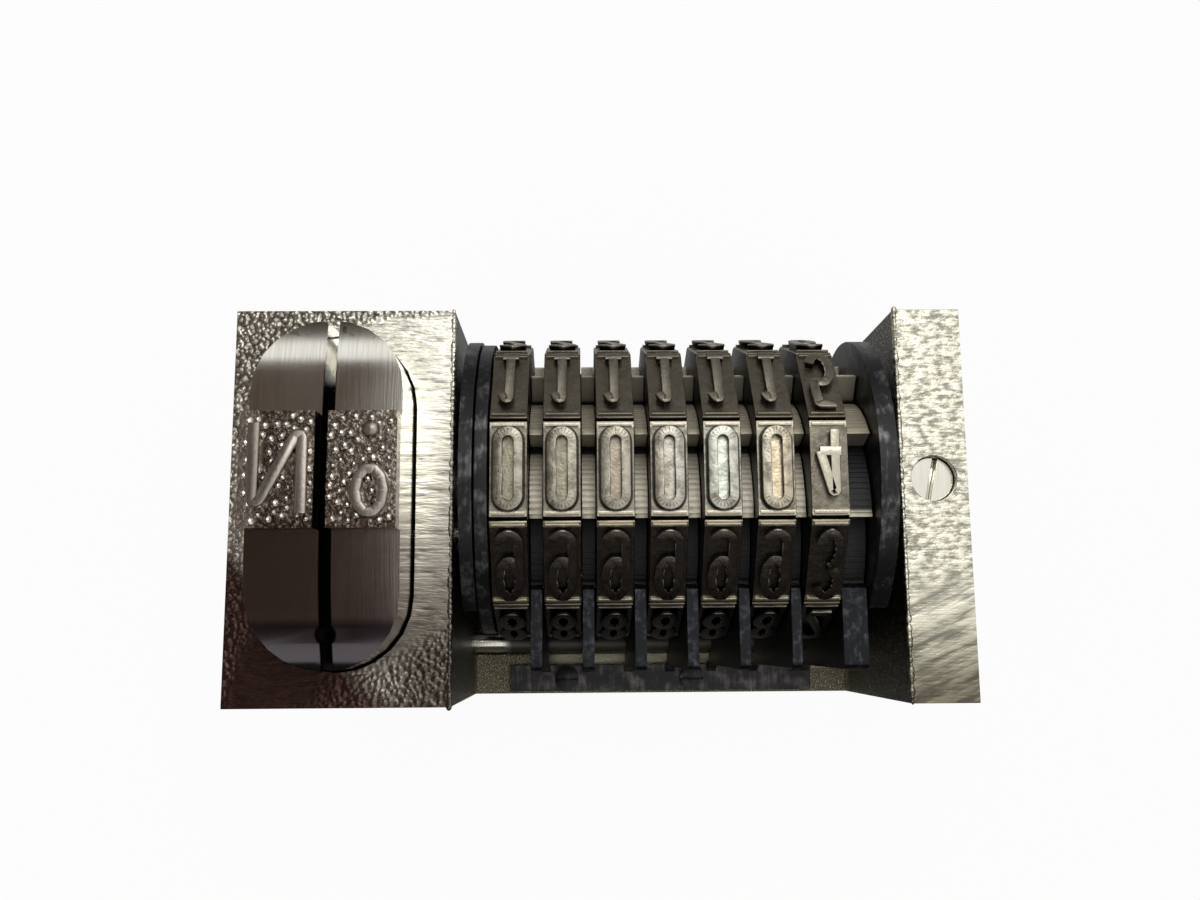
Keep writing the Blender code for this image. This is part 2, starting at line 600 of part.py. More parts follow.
def make_feed_pawl(black):
    outer = PAWL_INNER_RADIUS + PAWL_THICKNESS
    start = STACK_START + SIDE_CLEARANCE
    end = STACK_END - SIDE_CLEARANCE
    arch = arc_band(PAWL_INNER_RADIUS, outer, PAWL_START_ANGLE, PAWL_END_ANGLE, PAWL_STEPS)
    plate = extruded(arch, "X", start, end)
    pin = swing_places()[0]
    hub = bar_x(pin, PAWL_HUB_RADIUS, start, end, SMALL_ROUND_STEPS)
    pin_hole = SWING_PIN_RADIUS + RUNNING_CLEARANCE
    bore = bar_x(pin, pin_hole, start - OVERRUN, end + OVERRUN, SMALL_ROUND_STEPS)
    teeth = []
    for n, (tooth_start, tooth_end) in enumerate(ratchet_spans()):
        nose = RATCHET_TIP_RADIUS + RIDE_CLEARANCE + PAWL_TOOTH_STEP * (WHEEL_COUNT - 1 - n)
        root = PAWL_INNER_RADIUS + PAWL_THICKNESS / 2
        toe = (PAWL_TOOTH_TOE_ANGLE + PAWL_END_ANGLE) / 2
        outline = [
            around(AXIS, root, PAWL_TOOTH_HEEL_ANGLE),
            around(AXIS, nose, PAWL_TOOTH_TOE_ANGLE),
            around(AXIS, nose, toe),
            around(AXIS, root, toe),
        ]
        teeth.append(extruded(outline, "X", tooth_start + SIDE_CLEARANCE, tooth_end - SIDE_CLEARANCE))
    return add_object("feed_pawl", carved(plate, [bore], [hub, *teeth]), black)


def make_feed_pawl_spring(steel):
    """A leaf curled round the tie rod, with a bowed blade that bears on the pawl near its pin."""
    rod = swing_places()[1]
    inner = SWING_PIN_RADIUS + SEAT_CLEARANCE
    outer = inner + LEAF_THICKNESS
    blade_radius = EAR_CENTRE_RADIUS + inner
    steps = SMALL_ROUND_STEPS
    curl = [TIE_ROD_ANGLE + LEAF_CURL_ANGLE * n / steps for n in range(steps + 1)]
    blade = []
    for n in range(1, LEAF_STEPS + 1):
        share = n / LEAF_STEPS
        turn = TIE_ROD_ANGLE + (LEAF_END_ANGLE - TIE_ROD_ANGLE) * share
        blade.append((blade_radius + LEAF_BOW * math.sin(math.pi * share), turn))
    outside = [around(rod, outer, turn) for turn in reversed(curl)]
    outside += [around(AXIS, radius + LEAF_THICKNESS, turn) for radius, turn in blade]
    inside = [around(AXIS, radius, turn) for radius, turn in reversed(blade)]
    inside += [around(rod, inner, turn) for turn in curl]
    middle = (STACK_START + STACK_END) / 2
    mesh = extruded(outside + inside, "X", middle - LEAF_WIDTH / 2, middle + LEAF_WIDTH / 2)
    return add_object("feed_pawl_spring", mesh, steel)


def crown_cutter(edge, end, sign):
    """What is milled off above one polished shelf: level at the band, falling away to the plunger's end."""
    top = PLUNGER_BAND_HEIGHT + OVERRUN
    reach = abs(end - edge) + OVERRUN
    points = [(edge, top)]
    for n in range(CROWN_STEPS + 1):
        run = reach * n / CROWN_STEPS
        drop = PLUNGER_CROWN_RADIUS - math.sqrt(PLUNGER_CROWN_RADIUS**2 - run**2)
        points.append((edge + sign * run, PLUNGER_SHELF_HEIGHT - drop))
    points.append((edge + sign * reach, top))
    return extruded(points, "X", BLOCK_MIDDLE - PLUNGER_WIDTH, BLOCK_MIDDLE + PLUNGER_WIDTH)


def spring_places():
    return [PLUNGER_BEHIND_MIDDLE - SPRING_SPACING / 2, PLUNGER_BEHIND_MIDDLE + SPRING_SPACING / 2]


def make_plunger(steel):
    outline = stadium(BLOCK_MIDDLE, PLUNGER_BEHIND_MIDDLE, PLUNGER_WIDTH, PLUNGER_LENGTH)
    body = extruded(outline, "Z", PLUNGER_BOTTOM, PLUNGER_BAND_HEIGHT)
    front_end = PLUNGER_BEHIND_MIDDLE - PLUNGER_LENGTH / 2
    rear_end = PLUNGER_BEHIND_MIDDLE + PLUNGER_LENGTH / 2
    band_middle = AXIS.y - PLUNGER_BAND_BEFORE_AXIS
    shelves = [
        crown_cutter(band_middle - PLUNGER_BAND_LENGTH / 2, front_end, -1),
        crown_cutter(band_middle + PLUNGER_BAND_LENGTH / 2, rear_end, 1),
    ]
    slit_middle = BLOCK_MIDDLE + SLIT_OFFSET
    slit_floor = FRAME_HEIGHT - SLIT_BELOW_TOP
    slit = box(
        (slit_middle - SLIT_WIDTH / 2, front_end - OVERRUN, slit_floor),
        (slit_middle + SLIT_WIDTH / 2, rear_end + OVERRUN, PLUNGER_BAND_HEIGHT + OVERRUN),
    )
    eye = extruded(
        circle(slit_middle, front_end + EYE_INSET, EYE_RADIUS, SMALL_ROUND_STEPS),
        "Z",
        slit_floor - OVERRUN,
        PLUNGER_BAND_HEIGHT + OVERRUN,
    )
    pocket_radius = SPRING_RADIUS + SPRING_WIRE_RADIUS + SPRING_POCKET_CLEARANCE
    pockets = [
        extruded(
            circle(BLOCK_MIDDLE, y, pocket_radius, SMALL_ROUND_STEPS),
            "Z",
            PLUNGER_BOTTOM - OVERRUN,
            PLUNGER_BOTTOM + SPRING_POCKET_DEPTH,
        )
        for y in spring_places()
    ]
    pin = drive_pin_place()
    slot_half_height = DRIVE_PIN_RADIUS + PIN_SLOT_CLEARANCE
    slot = box(
        (
            PLUNGER_FACE - DRIVE_PIN_REACH - SEAT_CLEARANCE,
            AXIS.y - DRIVE_PIN_CIRCLE - slot_half_height,
            pin.z - slot_half_height,
        ),
        (PLUNGER_FACE + OVERRUN, pin.y + slot_half_height, pin.z + slot_half_height),
    )
    mesh = carved(body, [*shelves, slit, eye, *pockets, slot])
    return add_object("plunger", mesh, steel)


def least_gap(places):
    """The least space between one turn of the wire and another, measured on the wire's points."""
    half_turn = SPRING_POINTS_PER_TURN // 2
    distances = [
        (places[far] - places[near]).length
        for near in range(len(places))
        for far in range(near + half_turn, len(places))
    ]
    return min(distances) - 2 * SPRING_WIRE_RADIUS


def coil(centre_x, centre_y, bottom, top):
    """A compression spring's wire as a curve along Z."""
    data = bpy.data.curves.new("coil", "CURVE")
    data.dimensions = "3D"
    data.bevel_depth = SPRING_WIRE_RADIUS
    data.bevel_resolution = 1
    data.use_fill_caps = True
    count = SPRING_TURNS * SPRING_POINTS_PER_TURN + 1
    low = bottom + SPRING_WIRE_RADIUS
    rise = top - bottom - 2 * SPRING_WIRE_RADIUS
    spline = data.splines.new("POLY")
    spline.points.add(count - 1)
    for n in range(count):
        turn = math.tau * n / SPRING_POINTS_PER_TURN
        height = low + rise * n / (count - 1)
        x = centre_x + SPRING_RADIUS * math.cos(turn)
        y = centre_y + SPRING_RADIUS * math.sin(turn)
        spline.points[n].co = (x, y, height, 1)
    gap = least_gap([point.co.to_3d() for point in spline.points])
    print("least gap between the spring's turns:", round(gap / MM, 2), "mm")
    return data


def make_plunger_springs(steel):
    bottom = BORE_FLOOR + SEAT_CLEARANCE + SPRING_WIRE_RADIUS
    top = PLUNGER_BOTTOM + SPRING_POCKET_DEPTH - SEAT_CLEARANCE - SPRING_WIRE_RADIUS
    for name, y in zip(("plunger_spring_front", "plunger_spring_rear"), spring_places()):
        curve = add_object(name, coil(BLOCK_MIDDLE, y, bottom, top))
        curve.data.materials.append(steel)


def make_retaining_rod(steel):
    start = BLOCK_FACE - SHAFT_SEAT_DEPTH + SEAT_CLEARANCE
    mesh = bar_x(ROD, ROD_RADIUS, start, FRAME_LENGTH / 2 - END_INSET, SMALL_ROUND_STEPS)
    return add_object("retaining_pawl_rod", mesh, steel)


def retainer_outline():
    """A plate on the rod: its rear edge follows the ratchet up to the nose, and a heel meets the spring."""
    reach = RATCHET_TIP_RADIUS + RIDE_CLEARANCE
    step = (RETAINER_NOSE_ANGLE - RETAINER_FOOT_ANGLE) / RETAINER_NOSE_STEPS
    rear = [around(AXIS, reach, RETAINER_FOOT_ANGLE + step * n) for n in range(RETAINER_NOSE_STEPS + 1)]
    nose_y, nose_z = rear[-1]
    top = nose_z + RETAINER_NOSE_THICKNESS
    front = ROD.y - RETAINER_FRONT
    corner = Vector((0, front + RETAINER_CORNER, top - RETAINER_CORNER))
    turns = [-90.0 * n / RETAINER_CORNER_STEPS for n in range(RETAINER_CORNER_STEPS + 1)]
    outline = rear + [(nose_y - RETAINER_NOSE_THICKNESS, top)]
    outline += [around(corner, RETAINER_CORNER, turn) for turn in turns]
    outline += [(front, ROD.z), around(ROD, RETAINER_HEEL_RADIUS, RETAINER_HEEL_ANGLE)]
    return outline + [around(ROD, RETAINER_HUB_RADIUS, turn) for turn in RETAINER_HUB_REAR_ANGLES]


def make_retaining_pawls(blued):
    for place, (start, end) in zip(WHEEL_PLACES, ratchet_spans()):
        low = start + SIDE_CLEARANCE
        high = end - SIDE_CLEARANCE
        finger = extruded(retainer_outline(), "X", low, high)
        bore = bar_x(ROD, ROD_RADIUS + RUNNING_CLEARANCE, low - OVERRUN, high + OVERRUN, SMALL_ROUND_STEPS)
        mesh = carved(finger, [bore])
        mesh.transform(Matrix.Translation(-ROD))
        add_object("retaining_pawl_" + place, mesh, blued, ROD)


def comb_screw_places():
    """Each screw stands under the middle of a figure band, on the front rail."""
    y = -FRAME_DEPTH / 2 + COMB_INSET + COMB_WIDTH / 2
    return [(STACK_START + n * WHEEL_PITCH + FIGURE_BAND_WIDTH / 2, y) for n in COMB_SCREW_WHEELS]


def make_retaining_comb(steel):
    """A strip along the rail with a finger rising to the heel of each pawl."""
    front = -FRAME_DEPTH / 2 + COMB_INSET
    bottom = RAIL_HEIGHT + SEAT_CLEARANCE
    top = bottom + COMB_THICKNESS
    spans = ratchet_spans()
    plate = box((STACK_START, front, bottom), (STACK_END, front + COMB_WIDTH, top))
    heel_y, heel_z = around(ROD, RETAINER_HEEL_RADIUS, RETAINER_HEEL_ANGLE)
    tip_y = heel_y + COMB_FINGER_PAST_HEEL
    tip_z = heel_z - COMB_TOUCH_GAP
    rear = front + COMB_WIDTH
    outline = [
        (rear - COMB_FINGER_FOOT, bottom),
        (rear, bottom),
        (tip_y, tip_z - COMB_THICKNESS),
        (tip_y, tip_z),
        (tip_y - COMB_FINGER_PAST_HEEL, tip_z),
    ]
    fingers = [
        extruded(outline, "X", start + SIDE_CLEARANCE, end - SIDE_CLEARANCE) for start, end in spans
    ]
    hole_radius = COMB_SCREW_RADIUS + SEAT_CLEARANCE
    holes = [
        extruded(circle(x, y, hole_radius, SMALL_ROUND_STEPS), "Z", bottom - OVERRUN, top + OVERRUN)
        for x, y in comb_screw_places()
    ]
    return add_object("retaining_spring_comb", carved(plate, holes, fingers), steel)


def make_comb_screws(black):
    head_bottom = RAIL_HEIGHT + 2 * SEAT_CLEARANCE + COMB_THICKNESS
    head_middle = head_bottom + COMB_SCREW_HEAD_HEIGHT / 2
    head_top = head_bottom + COMB_SCREW_HEAD_HEIGHT
    reach = COMB_SCREW_HEAD_RADIUS
    half_slot = LOCK_SCREW_SLOT_WIDTH / 2
    for name, (x, y) in zip(("comb_screw_left", "comb_screw_right"), comb_screw_places()):
        head = extruded(circle(x, y, reach, SMALL_ROUND_STEPS), "Z", head_bottom, head_top)
        round_shank = circle(x, y, COMB_SCREW_RADIUS, SMALL_ROUND_STEPS)
        shank = extruded(round_shank, "Z", RAIL_HEIGHT - COMB_SCREW_LENGTH, head_middle)
        slot = box((x - reach, y - half_slot, head_middle), (x + reach, y + half_slot, head_top + OVERRUN))
        add_object(name, carved(head, [slot], [shank]), black)


def main():
    clear_scene()
    nickel = metal("nickelled_steel")
    polished = metal("polished_steel")
    black = metal("blackened_steel")
    spring_steel = metal("spring_steel")

    make_frame(nickel)
    make_shaft(polished)
    make_lock_screw(polished)
    make_wheels(metal("figure_steel"), metal("ratchet_steel"))
    make_spacer(black)
    make_swing(black, polished)
    make_feed_pawl(black)
    make_feed_pawl_spring(spring_steel)
    make_plunger(polished)
    make_plunger_springs(spring_steel)
    make_retaining_rod(polished)
    make_retaining_pawls(metal("blued_steel"))
    make_retaining_comb(spring_steel)
    make_comb_screws(black)


main()
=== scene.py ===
# %% [markdown]
# A typographic numbering machine, seen from its printing face. It is locked up among type, and each
# press on the plunger turns its figure wheels by one number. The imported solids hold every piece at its
# real size, so they are loaded first and stay where they are. What follows gives each of them the edges,
# the raised figures and the finish of the real one.

import json
import math

import bmesh
import bpy
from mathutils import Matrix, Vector


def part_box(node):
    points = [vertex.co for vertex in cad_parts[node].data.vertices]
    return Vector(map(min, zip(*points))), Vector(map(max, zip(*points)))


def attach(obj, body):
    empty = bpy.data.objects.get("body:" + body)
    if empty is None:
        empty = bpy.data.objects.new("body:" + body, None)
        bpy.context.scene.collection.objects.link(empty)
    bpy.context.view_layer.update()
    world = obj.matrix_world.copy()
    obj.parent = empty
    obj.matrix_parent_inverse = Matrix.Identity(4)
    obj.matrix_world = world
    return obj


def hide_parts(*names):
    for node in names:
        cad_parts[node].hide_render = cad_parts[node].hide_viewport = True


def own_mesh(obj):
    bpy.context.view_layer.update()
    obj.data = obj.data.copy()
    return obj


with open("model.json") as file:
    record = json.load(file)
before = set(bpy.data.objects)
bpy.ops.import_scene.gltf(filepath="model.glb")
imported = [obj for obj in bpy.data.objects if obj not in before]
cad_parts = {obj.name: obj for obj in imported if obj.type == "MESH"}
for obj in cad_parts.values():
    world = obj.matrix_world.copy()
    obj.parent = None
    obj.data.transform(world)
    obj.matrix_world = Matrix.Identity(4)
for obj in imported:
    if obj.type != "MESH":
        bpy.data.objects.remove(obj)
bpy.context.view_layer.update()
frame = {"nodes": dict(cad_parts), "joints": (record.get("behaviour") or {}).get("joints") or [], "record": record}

MM = 0.001
BODY_OF = {node: body for body, nodes in frame["record"]["behaviour"]["bodies"].items() for node in nodes}
HINGES = {joint["name"]: joint for joint in frame["joints"]}
AXIS = Vector(HINGES["swing_rock"]["pos_m"])

# %% [markdown]
# Every finish here is worked out by nodes: worn nickel, black oxide and dried ink all change from place
# to place. Wiring such sums by hand hides what they mean, so one small class wraps a socket and lets
# Python's own signs add the nodes. `1 - mask` then reads as it would on paper. A second class adds every
# other kind of node by one method, which sets a node up before it feeds its sockets.


# %% Sums on sockets
class Plug:
    """An output socket that can be reckoned with as if it were a number."""

    def __init__(self, graph, socket):
        self.graph = graph
        self.socket = socket

    def apply(self, operation, first, second=0.0, third=0.0):
        return self.graph.node("ShaderNodeMath", {"operation": operation}, {0: first, 1: second, 2: third})

    def __add__(self, other):
        return self.apply("ADD", self, other)

    def __sub__(self, other):
        return self.apply("SUBTRACT", self, other)

    def __rsub__(self, other):
        return self.apply("SUBTRACT", other, self)

    def __mul__(self, other):
        return self.apply("MULTIPLY", self, other)

    def __abs__(self):
        return self.apply("ABSOLUTE", self)

    def highest(self, other):
        return self.apply("MAXIMUM", self, other)

    def root(self):
        return self.apply("SQRT", self)

    __radd__ = __add__
    __rmul__ = __mul__


class Graph:
    """A node tree that is filled through one method; a colour ramp's stops are one of its settings."""

    def __init__(self, tree):
        self.tree = tree

    def node(self, kind, settings=None, values=None, output=0):
        made = self.tree.nodes.new(kind)
        for key, value in (settings or {}).items():
            if key == "stops":
                ramp = made.color_ramp.elements
                while len(ramp) < len(value):
                    ramp.new(1.0)
                for stop, (place, colour) in zip(ramp, value):
                    stop.position = place
                    stop.color = (*colour, 1.0)
            else:
                setattr(made, key, value)
        for key, value in (values or {}).items():
            self.feed(made.inputs[key], value)
        return Plug(self, made.outputs[output]) if made.outputs else None

    def feed(self, socket, value):
        if isinstance(value, Plug):
            self.tree.links.new(value.socket, socket)
        else:
            socket.default_value = value


print("sums and nodes are ready")

# %% [markdown]
# A metal finish needs the same few things each time: where on the piece a point lies, some noise at a
# given grain, a soft step between two values, and a mix of two colours. Textures read Object
# coordinates in metres, so each grain size is given in millimetres and turned into a scale here. The
# pieces all lie at the origin, so these coordinates are also places on the whole machine.


# %% A finish and its helpers
class Finish(Graph):
    """A Principled material with helpers for worn metal."""

    def __init__(self, name, metallic=1.0):
        self.material = bpy.data.materials.new(name)
        self.material.use_nodes = True
        super().__init__(self.material.node_tree)
        self.shader = self.tree.nodes["Principled BSDF"]
        self.shader.inputs["Metallic"].default_value = metallic
        self.place = self.node("ShaderNodeTexCoord", output=3)
        parts = self.tree.nodes.new("ShaderNodeSeparateXYZ")
        self.feed(parts.inputs[0], self.place)
        self.x, self.y, self.z = (Plug(self, socket) for socket in parts.outputs)

    def stretched(self, x=1.0, y=1.0, z=1.0, turn=0.0):
        """The place, turned about Z by some degrees and then squeezed along each axis."""
        place = self.place
        if turn:
            values = {"Vector": place, "Axis": (0.0, 0.0, 1.0), "Angle": math.radians(turn)}
            place = self.node("ShaderNodeVectorRotate", values=values)
        return self.node("ShaderNodeVectorMath", {"operation": "MULTIPLY"}, {0: place, 1: (x, y, z)})

    def noise(self, grain, detail=3.0, rough=0.55, place=None):
        values = {"Vector": place or self.place, "Scale": 1 / grain, "Detail": detail, "Roughness": rough}
        return self.node("ShaderNodeTexNoise", values=values)

    def cells(self, grain):
        values = {"Vector": self.place, "Scale": 1 / grain}
        return self.node("ShaderNodeTexVoronoi", {"feature": "SMOOTH_F1"}, values)

    def step(self, value, low, high):
        """0 below low and 1 above high, with a soft change between them."""
        values = {"Value": value, "From Min": low, "From Max": high}
        return self.node("ShaderNodeMapRange", {"interpolation_type": "SMOOTHSTEP"}, values)

    def ramp(self, value, stops):
        return self.node("ShaderNodeValToRGB", {"stops": stops}, {"Fac": value})

    def mix(self, share, first, second):
        first = first if isinstance(first, Plug) else (*first, 1.0)
        second = second if isinstance(second, Plug) else (*second, 1.0)
        values = {"Factor": share, 6: first, 7: second}
        return self.node("ShaderNodeMix", {"data_type": "RGBA", "clamp_factor": True}, values, output=2)

    def finish(self, colour, roughness, height, depth, strength):
        """The material, once its colour, its roughness and its fine relief are fed in."""
        bump = {"Height": height, "Distance": depth, "Strength": strength}
        self.feed(self.shader.inputs["Base Color"], colour)
        self.feed(self.shader.inputs["Roughness"], roughness)
        self.feed(self.shader.inputs["Normal"], self.node("ShaderNodeBump", values=bump))
        return self.material


print("finishes can be mixed")

# %% [markdown]
# The frame is one block of nickelled steel, and its top tells how it was made. On the thick end a
# cutter ran along X and left fine ridges; round the left and the rear it tore the metal into grains. On
# the thin cheek the strokes slant near the front. Ridges this fine would need millions of faces, so they
# are height in the material. Each also gets its own light and dark in the colour: the bottom of a
# scratch and the rim of a grain are painted dark, as dirt and painted shade.

# %% Milled nickel: what the cutter left
frame_low, frame_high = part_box("frame")
BLOCK_FACE = -8.25 * MM
CHEEK_FACE = 16.85 * MM
CHEEK_START = 16.0 * MM
milled = Finish("milled_nickel")
wander = milled.noise(5.0 * MM, 2.0)
ridges = milled.noise(0.36 * MM, 3.0, 0.6, milled.stretched(x=0.22, z=0.5))
fine_ridges = milled.noise(0.12 * MM, 2.0, 0.6, milled.stretched(x=0.1, z=0.5))
strokes = milled.noise(0.60 * MM, 3.0, 0.65, milled.stretched(x=0.16, z=0.5, turn=-22.0))
mottle = milled.noise(0.30 * MM, 3.0, 0.6, milled.stretched(x=0.5, z=0.5))
grains = milled.cells(0.24 * MM)
speckle = milled.noise(0.10 * MM, 2.0, 0.7)
on_cheek = milled.step(milled.x, CHEEK_START, CHEEK_START + 0.2 * MM)
at_left = milled.step(milled.x - milled.y * 0.25 + wander * 3.0 * MM, -15.5 * MM, -17.5 * MM)
at_edge = milled.step(milled.y + wander * 1.5 * MM - milled.x * 0.1, 12.2 * MM, 12.9 * MM)
pitted = milled.step(milled.x * 0.4 - milled.y + wander * 4.0 * MM, 5.0 * MM, 8.0 * MM)
on_top = milled.step(milled.z, frame_high.z - 3.0 * MM, frame_high.z - 0.4 * MM)
torn = at_left.highest(at_edge).highest(pitted * 0.7) * (1 - on_cheek) * (0.25 + on_top * 0.75)
slanting = milled.step(milled.y + wander * 3.0 * MM, -1.0 * MM, -4.0 * MM)
cheek_lines = mottle * (1 - slanting) + strokes * slanting
lines = ridges * (1 - on_cheek) + cheek_lines * on_cheek
line_light = milled.step(lines + fine_ridges * 0.35 - 0.17 - on_cheek * 0.11, 0.24, 0.54)
grain_light = milled.step(grains + speckle * 0.3, 0.80, 0.25)
light = line_light * (1 - torn) + grain_light * torn
print("cutter marks:", len(milled.tree.nodes), "nodes")

# %% [markdown]
# The plating's colour carries painted light. The top is painted bright at the right and the rear, duller
# at the left, and darker towards the front on both the block and the cheek. A brown painted reflection
# lies on the corner nearest the user's left hand and fades down the sides.

# %% Milled nickel: how bright it is
bright = (1.0, 0.97, 0.83)
painted_brown_reflection = (0.080, 0.044, 0.038)
groove_dirt_and_shade = (0.03, 0.026, 0.02)
# Painted light: the top is bright at the rear and the right and darkens towards the front and the left.
left_painted_light = milled.mix(milled.step(milled.y, -1.0 * MM, 7.0 * MM), (1.0, 0.91, 0.78), (0.70, 0.64, 0.54))
right_tone = milled.mix(milled.step(milled.y, -9.5 * MM, 8.0 * MM), (0.14, 0.12, 0.095), bright)
leftness = milled.step(milled.x + milled.y * 0.12, -10.5 * MM, -18.0 * MM)
block_tone = milled.mix(leftness, right_tone, left_painted_light)
high_up = milled.step(milled.z, 9.0 * MM, 17.0 * MM)
# A brown painted reflection on the front-left corner, weaker low down the sides.
brown_reflection_area = milled.step(wander * 2.0 * MM - milled.y * 0.8 - milled.x * 0.75, 17.4 * MM, 19.6 * MM)
block_tone = milled.mix(brown_reflection_area * (0.35 + high_up * 0.65), block_tone, painted_brown_reflection)
# Painted light: the cheek is darker towards the front.
past_corner = milled.step(milled.y, -10.8 * MM, -4.5 * MM)
cheek_tone = milled.mix(past_corner, (0.26, 0.24, 0.17), (0.84, 0.81, 0.66))
top_tone = milled.mix(on_cheek, block_tone, cheek_tone)
depth_of_dark = 0.70 * (1 - brown_reflection_area * (1 - on_cheek) * 0.8)
# Painted shade, partly dirt: the bottom of each scratch and the rim of each grain are darkened.
top_tone = milled.mix((1 - light) * depth_of_dark, top_tone, groove_dirt_and_shade)
print("with its tones:", len(milled.tree.nodes), "nodes")

# %% [markdown]
# The bay between the thick end and the cheek was never polished. Its colour is painted dark, as painted
# shade under the wheels. Single grains carry painted glints, most of all on the front rail, which is
# painted lighter, and the strip of rail behind the spring comb carries a painted highlight.

# %% Milled nickel: the bay
past_block = milled.step(milled.x, BLOCK_FACE - 0.11 * MM, BLOCK_FACE - 0.03 * MM)
past_cheek = milled.step(milled.x, CHEEK_FACE + 0.01 * MM, CHEEK_FACE + 0.09 * MM)
below_top = 1 - milled.step(milled.z, 17.9 * MM, 18.4 * MM)
in_bay = past_block * (1 - past_cheek) * below_top
on_rail = milled.step(milled.y, -8.0 * MM, -8.3 * MM) * milled.step(milled.z, 4.0 * MM, 3.0 * MM)
# Painted glints on single grains, most on the rail.
painted_glints = milled.step(speckle + on_rail * 0.06, 0.58, 0.70)
behind_comb = milled.step(milled.y, -9.6 * MM, -9.4 * MM) * milled.step(milled.x, -3.5 * MM, -2.5 * MM)
# Painted shade in the bay, a painted lighter rail, and a painted highlight on the rail behind the comb.
bay_tone = milled.mix(on_rail, (0.050, 0.044, 0.031), (0.26, 0.235, 0.165))
bay_tone = milled.mix(on_rail * behind_comb, bay_tone, (1.0, 0.92, 0.68))
bay_tone = milled.mix(painted_glints, bay_tone, (0.95, 0.88, 0.64))
coloured = milled.mix(in_bay, top_tone, bay_tone)
relief = lines * (1 - torn) + fine_ridges * 0.3 + (1 - grains) * torn * 2.6 + speckle * in_bay * 1.5
MILLED = milled.finish(coloured, 0.24 + speckle * 0.2, relief, 0.08 * MM, 0.9)
print("milled nickel:", len(milled.tree.nodes), "nodes")

# %% [markdown]
# The shaft, the pins, the two rods and the lock screw are bright steel with faint streaks along Y. The
# rod in front of the wheels is painted dark as painted shade, and made rougher there, so that it shines
# most at its left end.

# %% Polished steel
polished = Finish("polished_steel")
streaks = polished.noise(0.08 * MM, 3.0, 0.6, polished.stretched(y=0.03, z=0.05))
smudge = polished.noise(3.0 * MM, 3.0)
tone = polished.mix(streaks, (0.62, 0.60, 0.50), (0.88, 0.86, 0.76))
# Painted shade on the rod in front of the wheels, which is also rougher there.
painted_rod_shade = polished.step(polished.y, -6.4 * MM, -6.9 * MM) * polished.step(polished.x, -6.4 * MM, -5.6 * MM)
tone = polished.mix(painted_rod_shade * 0.85, tone, (0.05, 0.046, 0.04))
POLISHED = polished.finish(tone, 0.12 + smudge * 0.16 + painted_rod_shade * 0.4, streaks, 0.006 * MM, 0.5)
print("polished steel:", len(polished.tree.nodes), "nodes")

# %% [markdown]
# The plunger is ground and polished, with faint marks along Y where the wheel passed over it. Its front
# shelf is painted brown with a dark band, as a painted reflection of the dark surroundings, and its rear
# shelf is painted darker towards the end, in spots, as a painted reflection too. The slit and its round
# eye are painted black as painted shade almost to the rear, where a painted reflection makes them light.
# Only the band is left rough, because the sign that it prints was cut there, and ink clings to it. One
# finish covers all of them: the height above the bed tells the band and the sign from the shelves.

# %% Plunger steel
EYE_INSET = 1.9 * MM
SLIT_OFFSET = 0.15 * MM
plunger_low, plunger_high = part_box("plunger")
band_top = plunger_high.z
slug = Finish("plunger_steel")
marks = slug.noise(0.11 * MM, 3.0, 0.6, slug.stretched(y=0.03, z=0.05))
pits = slug.noise(0.22 * MM, 3.0, 0.6)
spots = slug.step(slug.noise(0.5 * MM, 2.0), 0.60, 0.66)
smear = slug.noise(2.5 * MM, 3.0)
on_band = slug.step(slug.z, band_top - 1.25 * MM, band_top - 1.0 * MM)
on_sign = slug.step(slug.z, band_top + 0.16 * MM, band_top + 0.26 * MM)
towards_front = slug.step(slug.y, 0.5 * MM, -2.2 * MM)
shelf = slug.mix(marks, (0.62, 0.60, 0.52), (1.0, 0.98, 0.90))
# The rear end of the shelf is painted darker, in spots: a painted reflection.
shelf = slug.mix(slug.step(slug.y, 7.9 * MM, 9.3 * MM) * (0.5 + spots * 0.5), shelf, (0.16, 0.14, 0.11))
# The front shelf is painted brown with a dark band: a painted reflection.
front_shelf = slug.mix(marks, (0.25, 0.20, 0.185), (0.34, 0.285, 0.265))
front_shelf = slug.mix(slug.step(slug.y, -6.2 * MM, -6.8 * MM) * 0.84, front_shelf, (0.05, 0.05, 0.06))
shelf = slug.mix(towards_front, shelf, front_shelf)
low_tone = slug.mix(towards_front, (0.17, 0.14, 0.11), (0.10, 0.065, 0.05))
high_tone = slug.mix(pits, (0.50, 0.44, 0.38), (0.90, 0.83, 0.72))
on_bead = slug.step(slug.z, band_top + 0.02 * MM, band_top + 0.12 * MM)
band_tone = slug.mix(slug.step(pits, 0.44, 0.70) * 0.7 + on_bead * 0.3, low_tone, high_tone)
at_end = slug.step(slug.x, plunger_low.x + 1.3 * MM, plunger_low.x + 0.5 * MM)
band_tone = slug.mix(at_end * 0.6, band_tone, (0.95, 0.87, 0.77))
sign_tone = slug.mix(marks * 0.6 + pits * 0.4, (0.13, 0.11, 0.095), (0.60, 0.54, 0.47))
band_tone = slug.mix(on_sign, band_tone, sign_tone)
slit_middle = (plunger_low.x + plunger_high.x) / 2 + SLIT_OFFSET
from_slit = slug.x - slit_middle
from_eye = slug.y - (plunger_low.y + EYE_INSET)
eye = (from_slit * from_slit + from_eye * from_eye).root()
in_slit = slug.step(abs(from_slit), 0.36 * MM, 0.31 * MM)
in_slit = in_slit.highest(slug.step(eye, 0.60 * MM, 0.54 * MM))
